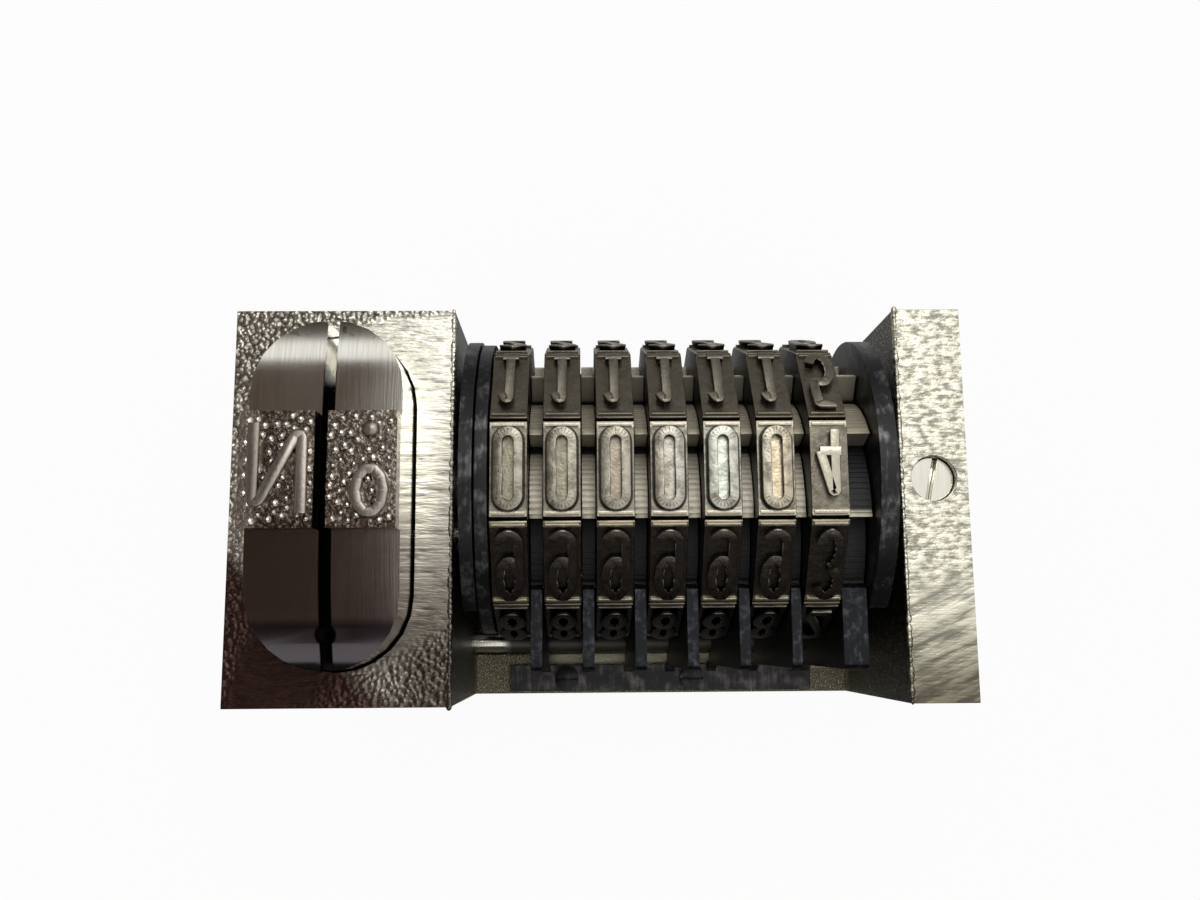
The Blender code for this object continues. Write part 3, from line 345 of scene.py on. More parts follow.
# The slit is painted black as painted shade, and light near the rear as a painted reflection.
slit_tone = slug.mix(slug.step(slug.y, 6.6 * MM, 7.2 * MM), (0.018, 0.016, 0.014), (0.66, 0.65, 0.60))
slug_colour = slug.mix(in_slit, slug.mix(on_band, shelf, band_tone), slit_tone)
slug_rough = 0.10 + smear * 0.08 + on_band * 0.08 + on_sign * 0.16
slug_height = marks * 0.06 * (1 - on_band) + pits * on_band * (1 - on_bead * 0.6)
PLUNGER_STEEL = slug.finish(slug_colour, slug_rough, slug_height, 0.03 * MM, 1.0)
print("plunger steel:", len(slug.tree.nodes), "nodes")

# %% [markdown]
# A figure wheel is inked at every press. Ink dries black in the grooves and on the sloping sides of the
# figures, which are painted near black as dried ink and painted shade, and only what meets the paper is
# rubbed bright, most of all on the flat that is in use. The wheel has ten flats, so a point's height over
# its own flat is its radius times the cosine of its angle from the middle of that flat, and the sine gives
# its place along the flat. Those two tell face, side, end bar and groove all round the wheel.

# %% Where a point lies on a wheel
FLATS = 10
FLAT_ANGLE = math.tau / FLATS
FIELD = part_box("number_wheel_units")[1].z - AXIS.z
FACE = 8.6 * MM
TIP_RADIUS = 7.3 * MM
ROOT_RADIUS = 5.5 * MM
TIP_ANGLE = math.radians(16.0)
RIBS_PER_TOOTH = 14
RIB_ANGLE = FLAT_ANGLE / RIBS_PER_TOOTH
BAND_WIDTH = 2.0 * MM
BAR_MIDDLE = 2.33 * MM
first_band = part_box("number_wheel_millions")[0].x
last_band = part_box("number_wheel_units")[0].x
WHEEL_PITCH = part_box("number_wheel_hundred_thousands")[0].x - first_band


class WheelFinish(Finish):
    """A finish that knows a point's angle, radius, and height and place over its own flat."""

    def __init__(self, name):
        super().__init__(name)
        up = self.z - AXIS.z
        back = self.y - AXIS.y
        self.angle = back.apply("ARCTAN2", back, up)
        self.radius = (back * back + up * up).root()
        fold = self.wrapped(self.angle, FLAT_ANGLE)
        self.over_flat = self.radius * fold.apply("COSINE", fold)
        self.along = abs(self.radius * fold.apply("SINE", fold))
        self.aside = abs(self.wrapped(self.x - (first_band + BAND_WIDTH / 2), WHEEL_PITCH))

    def wrapped(self, value, span):
        """The value less whole spans, so that it runs from minus half a span to plus half a span."""
        return value.apply("WRAP", value, span / 2, -span / 2)


print("flats at", round(FIELD / MM, 2), "mm from the axis")

# %% [markdown]
# The row in use has a heat tint that wanders from grey through straw and pale blue to gold across the
# machine. In the noughts the middle keeps that tint, and a dark line of dried ink and painted shade runs
# round the figure. The row to the rear is rubbed dull, and those to the front are painted near black, as
# caked ink and a painted dark reflection, between their bright end bars.

# %% Figure steel
inked = WheelFinish("figure_steel")
wear = inked.noise(0.6 * MM, 4.0, 0.6)
flecks = inked.noise(0.14 * MM, 2.0)
across = inked.step(inked.x + wear * 1.5 * MM, -6.0 * MM, 16.0 * MM)
heat_tint = inked.ramp(
    across,
    [
        (0.00, (0.30, 0.28, 0.20)),
        (0.22, (0.34, 0.31, 0.24)),
        (0.38, (0.37, 0.29, 0.22)),
        (0.54, (0.58, 0.62, 0.54)),
        (0.68, (0.66, 0.68, 0.57)),
        (0.84, (0.70, 0.56, 0.37)),
        (1.00, (0.74, 0.68, 0.54)),
    ],
)
grey = inked.mix(0.5, heat_tint, (0.42, 0.40, 0.34))
worn = inked.mix(inked.step(wear, 0.30, 0.62), (0.20, 0.18, 0.14), grey)
last_wheel = inked.step(inked.x, last_band - 0.2 * MM, last_band - 0.1 * MM)
past_straight = (inked.along - 1.42 * MM).highest(0.0)
from_middle = (past_straight * past_straight + inked.aside * inked.aside).root()
in_counter = inked.step(from_middle, 0.32 * MM, 0.25 * MM) * (1 - last_wheel)
in_outline = inked.step(from_middle, 0.60 * MM, 0.66 * MM) * inked.step(from_middle, 0.93 * MM, 0.87 * MM)
on_bar = inked.step(inked.along, 2.16 * MM, 2.22 * MM)
on_land = inked.step(inked.over_flat, FIELD - 0.10 * MM, FIELD - 0.03 * MM)
on_side = inked.step(inked.over_flat, FIELD + 0.01 * MM, FIELD + 0.035 * MM) * (1 - on_bar)
on_face = inked.step(inked.over_flat, FACE - 0.10 * MM, FACE - 0.05 * MM)
field_tone = inked.mix(0.4 + last_wheel * 0.3, worn, (0.05, 0.045, 0.035))
# A dark outline round the nought: dried ink and painted shade.
field_tone = inked.mix(in_outline * (1 - last_wheel) * 0.9, field_tone, (0.02, 0.018, 0.015))
face_tone = inked.mix(last_wheel * 0.8, worn, (0.62, 0.58, 0.46))
counter_tone = inked.mix(inked.step(wear, 0.56, 0.40) * 0.4, heat_tint, (0.10, 0.09, 0.07))
in_use = inked.mix(on_face, inked.mix(in_counter, field_tone, counter_tone), face_tone)
in_use = inked.mix(on_bar, in_use, (0.46, 0.42, 0.33))
to_rear = inked.step(inked.angle, FLAT_ANGLE * 0.5, FLAT_ANGLE * 0.53)
to_front = inked.step(inked.angle, -FLAT_ANGLE * 0.5, -FLAT_ANGLE * 0.53)
beneath = inked.step(inked.angle, -FLAT_ANGLE * 1.45, -FLAT_ANGLE * 1.55)
rubbed = inked.mix(wear, (0.13, 0.115, 0.09), (0.29, 0.26, 0.20))
rubbed = inked.mix(on_face * wear, rubbed, (0.34, 0.31, 0.25))
# The front flats: caked ink, painted darker as a painted reflection of the dark front.
front_ink_and_reflection = inked.mix(wear, (0.028, 0.025, 0.024), (0.15, 0.13, 0.105))
front_ink_and_reflection = inked.mix(on_bar * 0.8, front_ink_and_reflection, (0.62, 0.56, 0.42))
front_ink_and_reflection = inked.mix(beneath * 0.8, front_ink_and_reflection, (0.075, 0.071, 0.068))
flat_tone = inked.mix(to_front, inked.mix(to_rear, in_use, rubbed), front_ink_and_reflection)
# Grooves and sloping sides are painted near black: dried ink and painted shade.
clean_and_lit = on_land * (1 - on_side) + on_face
wheel_tone = inked.mix(clean_and_lit * (0.72 + flecks * 0.5), (0.016, 0.014, 0.012), flat_tone)
relief = flecks * 0.6 + wear
FIGURE_STEEL = inked.finish(wheel_tone, 0.26 + flecks * 0.2, relief, 0.03 * MM, 0.8)
print("figure steel:", len(inked.tree.nodes), "nodes")

# %% [markdown]
# The ratchet rings are hardened and stay oily, which turns them a brown grey. Their tips shine where
# the pawls drag over them, and that shine is painted weaker at the front and the rear as painted shade.
# Down in the notches, towards the front, at the right-hand end beside the arm, and faintly between the
# ribs, they are painted black as painted shade, and the backs that face the rear are painted darker.

# %% Ratchet steel
bronzed = WheelFinish("ratchet_steel")
film = bronzed.noise(0.8 * MM, 4.0, 0.6)
grit = bronzed.noise(0.12 * MM, 2.0)
on_tip = bronzed.step(bronzed.radius, TIP_RADIUS - 0.16 * MM, TIP_RADIUS - 0.03 * MM)
in_notch = bronzed.step(bronzed.radius, ROOT_RADIUS + 0.35 * MM, ROOT_RADIUS + 0.15 * MM)
from_rib = abs(bronzed.wrapped(bronzed.angle - TIP_ANGLE, RIB_ANGLE))
between_ribs = bronzed.step(from_rib, RIB_ANGLE * 0.3, RIB_ANGLE * 0.46)
to_front = bronzed.step(bronzed.angle, -0.28, -0.36)
last_ring = bronzed.step(bronzed.x, 13.0 * MM, 13.3 * MM) * bronzed.step(bronzed.angle, 0.26, 0.22)
back_tone = bronzed.mix(film, (0.52, 0.48, 0.39), (0.72, 0.67, 0.55))
# Painted black shade, used in the notches, at the front, at the end by the arm and between the ribs.
painted_black_shade = (0.050, 0.049, 0.050)
back_tone = bronzed.mix(between_ribs * 0.3, back_tone, painted_black_shade)
# The backs that face the rear are painted darker: painted shade.
behind = bronzed.step(bronzed.angle, 0.62, 0.74)
back_tone = bronzed.mix(behind * 0.75, back_tone, (0.34, 0.315, 0.26))
back_tone = bronzed.mix(in_notch.highest(to_front), back_tone, painted_black_shade)
back_tone = bronzed.mix(last_ring, back_tone, painted_black_shade)
# The tips are worn bright; their shine is painted weaker at the front and the rear as painted shade.
ring_tone = bronzed.mix(on_tip * (1 - to_front * 0.35 - behind * 0.5), back_tone, (0.80, 0.74, 0.58))
RATCHET_STEEL = bronzed.finish(ring_tone, 0.50 + grit * 0.2, grit + film, 0.02 * MM, 0.6)
print("ratchet steel:", len(bronzed.tree.nodes), "nodes")

# %% [markdown]
# The swing's round arms and the feed pawl are blackened by a hot oxide bath. The coat is thin: it goes
# grey in patches where hands and other parts rub it. The retaining pawls are tempered blue, which
# leaves a slate colour with a forged skin, and the springs are dark from the oven.


# %% Blackened, blued and tempered steel
def oxide(name, dark, rubbed, grain, rub_from, rough):
    coat = Finish(name, 0.75)
    cloud = coat.noise(grain, 4.0, 0.6)
    pores = coat.noise(0.12 * MM, 2.0)
    scratch = coat.noise(0.2 * MM, 2.0, 0.6, coat.stretched(y=0.1))
    rub = coat.step(cloud * 0.8 + scratch * 0.35, rub_from, rub_from + 0.3)
    tone = coat.mix(rub, dark, rubbed)
    return coat.finish(tone, rough + pores * 0.2, cloud + pores * 0.5, 0.03 * MM, 0.5)


BLACK = oxide("black_oxide", (0.022, 0.022, 0.023), (0.19, 0.19, 0.19), 1.3 * MM, 0.55, 0.30)
BLUED = oxide("blued_steel", (0.010, 0.011, 0.013), (0.066, 0.071, 0.079), 0.4 * MM, 0.54, 0.30)
TEMPERED = oxide("tempered_spring", (0.030, 0.028, 0.029), (0.15, 0.14, 0.13), 1.2 * MM, 0.52, 0.30)
print("three oxide coats")

# %% [markdown]
# No edge on a real part is perfectly sharp: each was broken with a file, and it is that narrow bright
# line which makes a block of metal look solid. The solids are sharp, so each is copied, its triangles
# are merged back into whole faces, and a narrow bevel goes round every corner. The shading then follows
# the large faces alone, which keeps a polished face even up to its edge.

# %% Break the edges of a solid
MERGE = 0.002 * MM
FLAT_WITHIN = math.radians(0.5)
CORNER_ABOVE = math.radians(28)


def merged_copy(node):
    mesh = frame["nodes"][node].data.copy()
    shape = bmesh.new()
    shape.from_mesh(mesh)
    bmesh.ops.remove_doubles(shape, verts=shape.verts, dist=MERGE)
    bmesh.ops.dissolve_limit(shape, angle_limit=FLAT_WITHIN, verts=shape.verts, edges=shape.edges)
    shape.to_mesh(mesh)
    shape.free()
    mesh.shade_smooth()
    return mesh


def linked(name, mesh):
    thing = bpy.data.objects.new(name, mesh)
    bpy.context.scene.collection.objects.link(thing)
    return thing


def frozen(thing):
    """The object with its modifiers turned into a plain mesh."""
    graph = bpy.context.evaluated_depsgraph_get()
    mesh = bpy.data.meshes.new_from_object(thing.evaluated_get(graph), depsgraph=graph)
    thing.modifiers.clear()
    thing.data = mesh
    return thing


def broken_edges(node, width, segments=2):
    piece = linked(node + "_finished", merged_copy(node))
    bevel = piece.modifiers.new("edge", "BEVEL")
    bevel.width = width
    bevel.segments = segments
    bevel.limit_method = "ANGLE"
    bevel.angle_limit = CORNER_ABOVE
    even = piece.modifiers.new("even", "WEIGHTED_NORMAL")
    even.weight = 100
    return frozen(piece)


def joined(piece, others):
    with bpy.context.temp_override(active_object=piece, selected_editable_objects=[piece, *others]):
        bpy.ops.object.join()
    return piece


def dress(piece, node, material):
    """The piece stands for a solid: it takes its place, its body and the given finish."""
    piece.data.materials.clear()
    piece.data.materials.append(material)
    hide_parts(node)
    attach(piece, BODY_OF[node])
    return piece


PAWL_EDGE = 0.09 * MM
PLAIN_PIECES = (
    ("wheel_shaft", 0.10 * MM, POLISHED),
    ("shaft_lock_screw", 0.06 * MM, POLISHED),
    ("wheel_spacer", 0.06 * MM, BLACK),
    ("retaining_pawl_rod", 0.08 * MM, POLISHED),
    ("retaining_spring_comb", 0.04 * MM, TEMPERED),
    ("comb_screw_left", 0.05 * MM, BLACK),
    ("comb_screw_right", 0.05 * MM, BLACK),
    ("swing_arm_left", 0.07 * MM, BLACK),
    ("swing_arm_right", 0.07 * MM, BLACK),
    ("swing_tie_rod", 0.05 * MM, POLISHED),
    ("swing_drive_pin", 0.05 * MM, POLISHED),
    ("feed_pawl_pin", 0.05 * MM, POLISHED),
    ("feed_pawl_spring", 0.03 * MM, TEMPERED),
    ("feed_pawl", 0.05 * MM, BLACK),
)
for node, width, material in PLAIN_PIECES:
    dress(broken_edges(node, width), node, material)
for node in BODY_OF:
    if BODY_OF[node].startswith("retaining_pawl_"):
        dress(broken_edges(node, PAWL_EDGE, 3), node, BLUED)
print(len(PLAIN_PIECES) + 7, "pieces with broken edges")

# %% [markdown]
# The plunger rests on two coil springs. They are hidden under it and shorten when it is pressed; here
# each is copied with a mesh of its own and takes the spring finish.

# %% Plunger springs
for node in ("plunger_spring_front", "plunger_spring_rear"):
    low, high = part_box(node)
    spring = dress(linked(node + "_finished", merged_copy(node)), node, TEMPERED)
    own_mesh(spring)
print("two springs,", round((high.z - low.z) / MM, 1), "mm long")

# %% [markdown]
# Small things that are strewn or set in rows come next: burrs, ribs, beads of ink. Each is one shape
# repeated by a rule, which is what Geometry Nodes are for. The trees are built here, with a named input
# for each size, and every tree ends by making its copies real and giving them their metal.


# %% A tree with named inputs
KINDS = {float: "NodeSocketFloat", int: "NodeSocketInt", tuple: "NodeSocketVector"}
KINDS |= {bpy.types.Material: "NodeSocketMaterial", bpy.types.Collection: "NodeSocketCollection"}


def new_tree(name, sizes):
    """An empty tree, its filler, and its inputs by name; sizes gives each input's kind."""
    tree = bpy.data.node_groups.new(name, "GeometryNodeTree")
    tree.interface.new_socket("Geometry", in_out="INPUT", socket_type="NodeSocketGeometry")
    for key, kind in {**sizes, "Metal": bpy.types.Material}.items():
        tree.interface.new_socket(key, in_out="INPUT", socket_type=KINDS[kind])
    tree.interface.new_socket("Geometry", in_out="OUTPUT", socket_type="NodeSocketGeometry")
    graph = Graph(tree)
    given = tree.nodes.new("NodeGroupInput")
    return graph, {socket.name: Plug(graph, socket) for socket in given.outputs if socket.name}


def end_tree(graph, last, metal):
    real = graph.node("GeometryNodeRealizeInstances", values={"Geometry": last})
    coated = graph.node("GeometryNodeSetMaterial", values={"Geometry": real, "Material": metal})
    graph.feed(graph.tree.nodes.new("NodeGroupOutput").inputs[0], coated)
    return graph.tree


def grown(thing, tree, values):
    """The object after the tree has run once with these inputs, as a plain mesh."""
    modifier = thing.modifiers.new(tree.name, "NODES")
    modifier.node_group = tree
    for item in tree.interface.items_tree:
        if item.in_out == "INPUT" and item.name in values:
            modifier[item.identifier] = values[item.name]
    return frozen(thing)


def edge_mesh(name, strokes):
    """Bare edges along strokes of places; a stroke is (closed, places)."""
    mesh = bpy.data.meshes.new(name)
    points = []
    edges = []
    for closed, stroke in strokes:
        first = len(points)
        points += stroke
        edges += [(first + n, first + n + 1) for n in range(len(stroke) - 1)]
        if closed:
            edges.append((len(points) - 1, first))
    mesh.from_pydata(points, edges, [])
    return mesh


print("trees can be grown")

# %% [markdown]
# A cutter leaves a burr where it runs off an edge: a row of small torn beads. They break the straight
# line of the frame's top. The tree walks along an edge and sets a bead at every step, each of its own
# size.

# %% Burrs on the frame's edges
burr_inputs = {"Spacing": float, "Least": float, "Most": float, "Flat": float, "Seed": int}
graph, given = new_tree("burrs", burr_inputs)
edge = graph.node("GeometryNodeMeshToCurve", values={"Mesh": given["Geometry"]})
walk = {"Curve": edge, "Length": given["Spacing"]}
edge = graph.node("GeometryNodeResampleCurve", {"mode": "LENGTH"}, walk)
bead = graph.node("GeometryNodeMeshIcoSphere", values={"Radius": 1.0, "Subdivisions": 2})
sizes = {2: given["Least"], 3: given["Most"], "Seed": given["Seed"]}
size = graph.node("FunctionNodeRandomValue", {"data_type": "FLOAT"}, sizes, output=1)
swell = graph.node("ShaderNodeCombineXYZ", values={"X": size, "Y": size * 1.5, "Z": size * given["Flat"]})
row = {"Points": edge, "Instance": bead, "Scale": swell}
BURRS = end_tree(graph, graph.node("GeometryNodeInstanceOnPoints", values=row), given["Metal"])

BURR_INSET = 0.08 * MM
BURR_SINK = 0.02 * MM
body = broken_edges("frame", 0.10 * MM)
burrs = []
burr_sizes = {"Spacing": 0.28 * MM, "Least": 0.07 * MM, "Most": 0.19 * MM, "Flat": 0.8, "Metal": MILLED}
BURR_ROWS = (
    ("block_burrs", BLOCK_FACE - BURR_INSET, 3),
    ("cheek_burrs", CHEEK_FACE + BURR_INSET, 8),
)
for name, x, seed in BURR_ROWS:
    top = frame_high.z - BURR_SINK
    ends = [(x, frame_low.y + BURR_INSET, top), (x, frame_high.y - BURR_INSET, top)]
    row = linked(name, edge_mesh(name, [(False, ends)]))
    burrs.append(grown(row, BURRS, {**burr_sizes, "Seed": seed}))
dress(joined(body, burrs), "frame", MILLED)
print("frame", len(body.data.polygons), "faces")

# %% [markdown]
# A printing figure stands up from its flat like a letter of type: a level face on sloping sides, so that
# it is strong and prints cleanly. Each one could be cut from a block, but a figure is really one stroke
# bent into a shape. So only its middle line is written down, in a plain style of numeral, and a
# Geometry Nodes tree runs a trapezoid along it. A low bar closes the flat at each end.


# %% The middle lines of ten figures
HALF_WIDE = 0.54 * MM
HALF_HIGH = 1.96 * MM
HAIR = 0.008 * MM
ARC_STEPS = 10


def arc(centre_y, reach_y, start, end, centre_x=0.0, reach_x=1.0):
    """Points on a bow, in shares of the figure's half width and half height; degrees from the right."""
    points = []
    for n in range(ARC_STEPS + 1):
        turn = math.radians(start + (end - start) * n / ARC_STEPS)
        points.append((centre_x + reach_x * math.cos(turn), centre_y + reach_y * math.sin(turn)))
    return points


# The share of the half height that makes an end bow a true half circle.
END = HALF_WIDE / HALF_HIGH
STRAIGHT = 1 - END
FIGURES = {
    "0": [(True, arc(STRAIGHT, END, 0, 180) + arc(-STRAIGHT, END, 180, 360))],
    "1": [(False, [(-0.75, 0.55), (0.0, 0.95), (0.0, -1.0)]), (False, [(-0.8, -1.0), (0.8, -1.0)])],
    "2": [(False, arc(STRAIGHT, END, 165, -20) + [(-0.95, -0.78), (-1.0, -1.0), (1.0, -1.0)])],
    "3": [(False, arc(0.54, 0.46, 160, -85)), (False, arc(-0.47, 0.53, 88, -160))],
    "4": [(False, [(0.45, -1.0), (0.45, 1.0), (-1.0, -0.42)]), (False, [(-1.0, -0.42), (1.0, -0.42)])],
    "5": [(False, [(0.9, 1.0), (-0.75, 1.0), (-0.85, 0.12)] + arc(-0.42, 0.58, 125, -155))],
    "6": [
        (True, arc(-0.40, 0.60, 0, 360)[:-1]),
        (False, arc(STRAIGHT, END, 25, 180) + [(-1.0, -0.40)]),
    ],
    "7": [(False, [(-1.0, 1.0), (1.0, 1.0), (0.3, 0.05), (-0.15, -1.0)])],
    "8": [(True, arc(0.54, 0.46, 0, 360, reach_x=0.9)[:-1]), (True, arc(-0.48, 0.52, 0, 360)[:-1])],
    "9": [
        (True, arc(0.40, 0.60, 0, 360)[:-1]),
        (False, arc(-STRAIGHT, END, -155, 0) + [(1.0, 0.40)]),
    ],
}


def cut_in_steel(strokes, half_wide, half_high, middle_x=0.0, middle_y=0.0):
    """Places along the strokes. They are cut as type is, so what is up on paper points to the front.

    Each stroke lies a hair higher than the one before, so that no two faces share a plane.
    """
    return [
        (closed, [(middle_x + x * half_wide, middle_y - y * half_high, n * HAIR) for x, y in stroke])
        for n, (closed, stroke) in enumerate(strokes)
    ]


print(len(FIGURES), "figures")

# %% [markdown]
# The tree turns the edges into curves, rounds their corners and sweeps a trapezoid along them. The
# profile's own corners are rounded too, because a face that has printed for years has no sharp rim.

# %% A tree for raised strokes
stroke_inputs = {"Foot": float, "Face": float, "Height": float, "Base": float, "Round": float}
graph, given = new_tree("raised_stroke", stroke_inputs)
line = graph.node("GeometryNodeMeshToCurve", values={"Mesh": given["Geometry"]})
corner = {"Curve": line, "Count": 3, "Radius": given["Round"] * 2.0}
line = graph.node("GeometryNodeFilletCurve", {"mode": "POLY"}, corner)
line = graph.node("GeometryNodeSetCurveNormal", {"mode": "Z_UP"}, {"Curve": line})
sides = {"Height": given["Height"], "Offset": 0.0}
sides |= {"Bottom Width": given["Foot"], "Top Width": given["Face"]}
profile = graph.node("GeometryNodeCurvePrimitiveQuadrilateral", {"mode": "TRAPEZOID"}, sides)
corner = {"Curve": profile, "Count": 2, "Radius": given["Round"]}
profile = graph.node("GeometryNodeFilletCurve", {"mode": "POLY"}, corner)
swept = {"Curve": line, "Profile Curve": profile, "Fill Caps": True}
swept = graph.node("GeometryNodeCurveToMesh", values=swept)
rise = graph.node("ShaderNodeCombineXYZ", values={"Z": given["Base"] + given["Height"] * 0.5})
raised = graph.node("GeometryNodeTransform", values={"Geometry": swept, "Translation": rise})
RAISED_STROKE = end_tree(graph, raised, given["Metal"])

STROKE_SUNK = 0.05 * MM
BAR_REACH = 0.88 * MM
BAR_RISE = 0.16 * MM
figure_sizes = {"Foot": 0.54 * MM, "Face": 0.30 * MM, "Round": 0.05 * MM}
figure_sizes["Height"] = FACE - FIELD + STROKE_SUNK
bar_sizes = {"Foot": 0.24 * MM, "Face": 0.14 * MM, "Round": 0.03 * MM}
bar_sizes["Height"] = BAR_RISE + STROKE_SUNK
shared = {"Base": FIELD - STROKE_SUNK, "Metal": FIGURE_STEEL}
figure_store = bpy.data.collections.new("figures")
for figure, strokes in FIGURES.items():
    name = "figure_" + figure
    thing = linked(name, edge_mesh(name, cut_in_steel(strokes, HALF_WIDE, HALF_HIGH)))
    grown(thing, RAISED_STROKE, {**figure_sizes, **shared})
    ends = [(False, [(-BAR_REACH, y, 0.0), (BAR_REACH, y, 0.0)]) for y in (-BAR_MIDDLE, BAR_MIDDLE)]
    bars = grown(linked("bars", edge_mesh("bars", ends)), RAISED_STROKE, {**bar_sizes, **shared})
    joined(thing, [bars])
    bpy.context.scene.collection.objects.unlink(thing)
    figure_store.objects.link(thing)

# %% [markdown]
# Ten figures stand round each wheel, one to a flat, and they follow each other towards the rear. That is
# a rule, so a second tree places them: one point for each figure, turned by its number of flats. The
# units wheel shows another figure than the rest, which is one named input.

# %% A tree that sets ten figures round a wheel
ring_inputs = {"Figures": bpy.types.Collection, "Shown": float, "Centre": tuple}
graph, given = new_tree("figures_round_a_wheel", ring_inputs)
points = graph.node("GeometryNodePoints", values={"Count": FLATS})
index = graph.node("GeometryNodeInputIndex")
turn = graph.node("ShaderNodeCombineXYZ", values={"X": (given["Shown"] - index) * FLAT_ANGLE})
turning = graph.node("FunctionNodeEulerToRotation", values={0: turn})
store = {"Collection": given["Figures"], "Separate Children": True, "Reset Children": True}
store = graph.node("GeometryNodeCollectionInfo", values=store)
spread = {"Points": points, "Instance": store, "Rotation": turning}
spread |= {"Pick Instance": True, "Instance Index": index}
ring = graph.node("GeometryNodeInstanceOnPoints", values=spread)
ring = graph.node("GeometryNodeTransform", values={"Geometry": ring, "Translation": given["Centre"]})
FIGURE_RING = end_tree(graph, ring, given["Metal"])

wheels = [node for node in BODY_OF if node.startswith("number_wheel_")]
for node in wheels:
    low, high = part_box(node)
    centre = (low.x + BAND_WIDTH / 2, AXIS.y, AXIS.z)
    shown = 4.0 if node.endswith("_units") else 0.0
    seat = {"Figures": figure_store, "Centre": centre, "Shown": shown, "Metal": FIGURE_STEEL}
    figures = grown(linked("ring", bpy.data.meshes.new("ring")), FIGURE_RING, seat)
    piece = joined(broken_edges(node, 0.05 * MM), [figures])
    dress(piece, node, FIGURE_STEEL)
    print(piece.name, len(piece.data.polygons), "faces")

# %% [markdown]
# The backs of the ratchet teeth were planed in small steps, and the steps still show as fine ribs
# across each ring. The tree follows the ten backs and lays a rib at every point, square to its path.

# %% Ribs on the ratchet rings
graph, given = new_tree("ribs", {"Size": tuple})
path = graph.node("GeometryNodeMeshToCurve", values={"Mesh": given["Geometry"]})
tangent = graph.node("GeometryNodeInputTangent")
aim = {"axis": "Y", "pivot_axis": "X"}
facing = graph.node("FunctionNodeAlignRotationToVector", aim, {"Vector": tangent})
rib = graph.node("GeometryNodeMeshCube", values={"Size": given["Size"]})
laid = {"Points": path, "Instance": rib, "Rotation": facing}
RIBS = end_tree(graph, graph.node("GeometryNodeInstanceOnPoints", values=laid), given["Metal"])

RIB_WIDTH = 0.17 * MM
RIB_HEIGHT = 0.05 * MM
RIB_INSET = 0.06 * MM


def tooth_backs(x):
    """The ten sloping backs as strokes in the plane at x, from each tip down to the next notch."""
    strokes = []
    for tooth in range(FLATS):
        places = []
        for rib in range(1, RIBS_PER_TOOTH):
            share = rib / RIBS_PER_TOOTH
            turn = TIP_ANGLE + FLAT_ANGLE * (tooth + share)
            reach = TIP_RADIUS - (TIP_RADIUS - ROOT_RADIUS) * share
            places.append((x, AXIS.y + reach * math.sin(turn), AXIS.z + reach * math.cos(turn)))
        strokes.append((False, places))
    return strokes


for node in BODY_OF:
    if node.startswith("ratchet_ring_"):
        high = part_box(node)[1]
        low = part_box(node.replace("ratchet_ring_", "number_wheel_"))[1]
        middle = (low.x + high.x) / 2
        width = high.x - low.x - 2 * RIB_INSET
        ribs = linked("ribs", edge_mesh("ribs", tooth_backs(middle)))
        rib_sizes = {"Size": (width, RIB_WIDTH, RIB_HEIGHT), "Metal": RATCHET_STEEL}
        piece = joined(broken_edges(node, 0.04 * MM), [grown(ribs, RIBS, rib_sizes)])
        dress(piece, node, RATCHET_STEEL)
print("ratchet ring", len(piece.data.polygons), "faces")

# %% [markdown]
# The plunger prints the plain sign for "number" before the figures, so the sign stands on its band: a
# capital letter, a small ring and a dot. The letter and the ring are drawn with the tree for strokes, and
# the dot is a flattened ball.

# %% The plunger and its sign
plunger = broken_edges("plunger", 0.16 * MM, 3)
block_middle = (plunger_low.x + plunger_high.x) / 2
band_middle = AXIS.y - 0.2 * MM
LETTER = [(False, [(-1, -1), (-1, 1), (1, -1), (1, 1)])]
RING = [(True, arc(0, 1, 0, 360)[:-1])]
SIGN = (
    # Name, strokes, half width, half height, place along x and y, foot width, face width.
    ("sign_letter", LETTER, 1.22 * MM, 2.30 * MM, -1.95 * MM, 0.0, 0.70 * MM, 0.44 * MM),
    ("sign_ring", RING, 0.72 * MM, 1.15 * MM, 2.70 * MM, -1.15 * MM, 0.62 * MM, 0.36 * MM),
)
sign_pieces = []
for name, strokes, half_wide, half_high, aside, along, foot, face in SIGN:
    places = cut_in_steel(strokes, half_wide, half_high, block_middle + aside, band_middle + along)
    sizes = {"Foot": foot, "Face": face, "Height": 0.5 * MM, "Base": band_top - 0.1 * MM, "Round": 0.1 * MM}
    sign = grown(linked(name, edge_mesh(name, places)), RAISED_STROKE, {**sizes, "Metal": PLUNGER_STEEL})
    sign_pieces.append(sign)
DOT_SIZE = (0.46 * MM, 0.46 * MM, 0.36 * MM)
dot_place = (block_middle + 2.7 * MM, band_middle + 2.0 * MM, band_top)
shape = bmesh.new()
bmesh.ops.create_icosphere(shape, subdivisions=3, radius=1.0)
dot = linked("sign_dot", bpy.data.meshes.new("sign_dot"))
bmesh.ops.scale(shape, verts=shape.verts, vec=DOT_SIZE)
bmesh.ops.translate(shape, verts=shape.verts, vec=dot_place)
shape.to_mesh(dot.data)
shape.free()
dot.data.shade_smooth()
sign_pieces.append(dot)
print(len(sign_pieces), "raised pieces")

# %% [markdown]
# Ink and oil have dried on the band in beads. A last tree strews them over its two halves: they keep
# apart from each other, as drops do, because two that touch run into one.

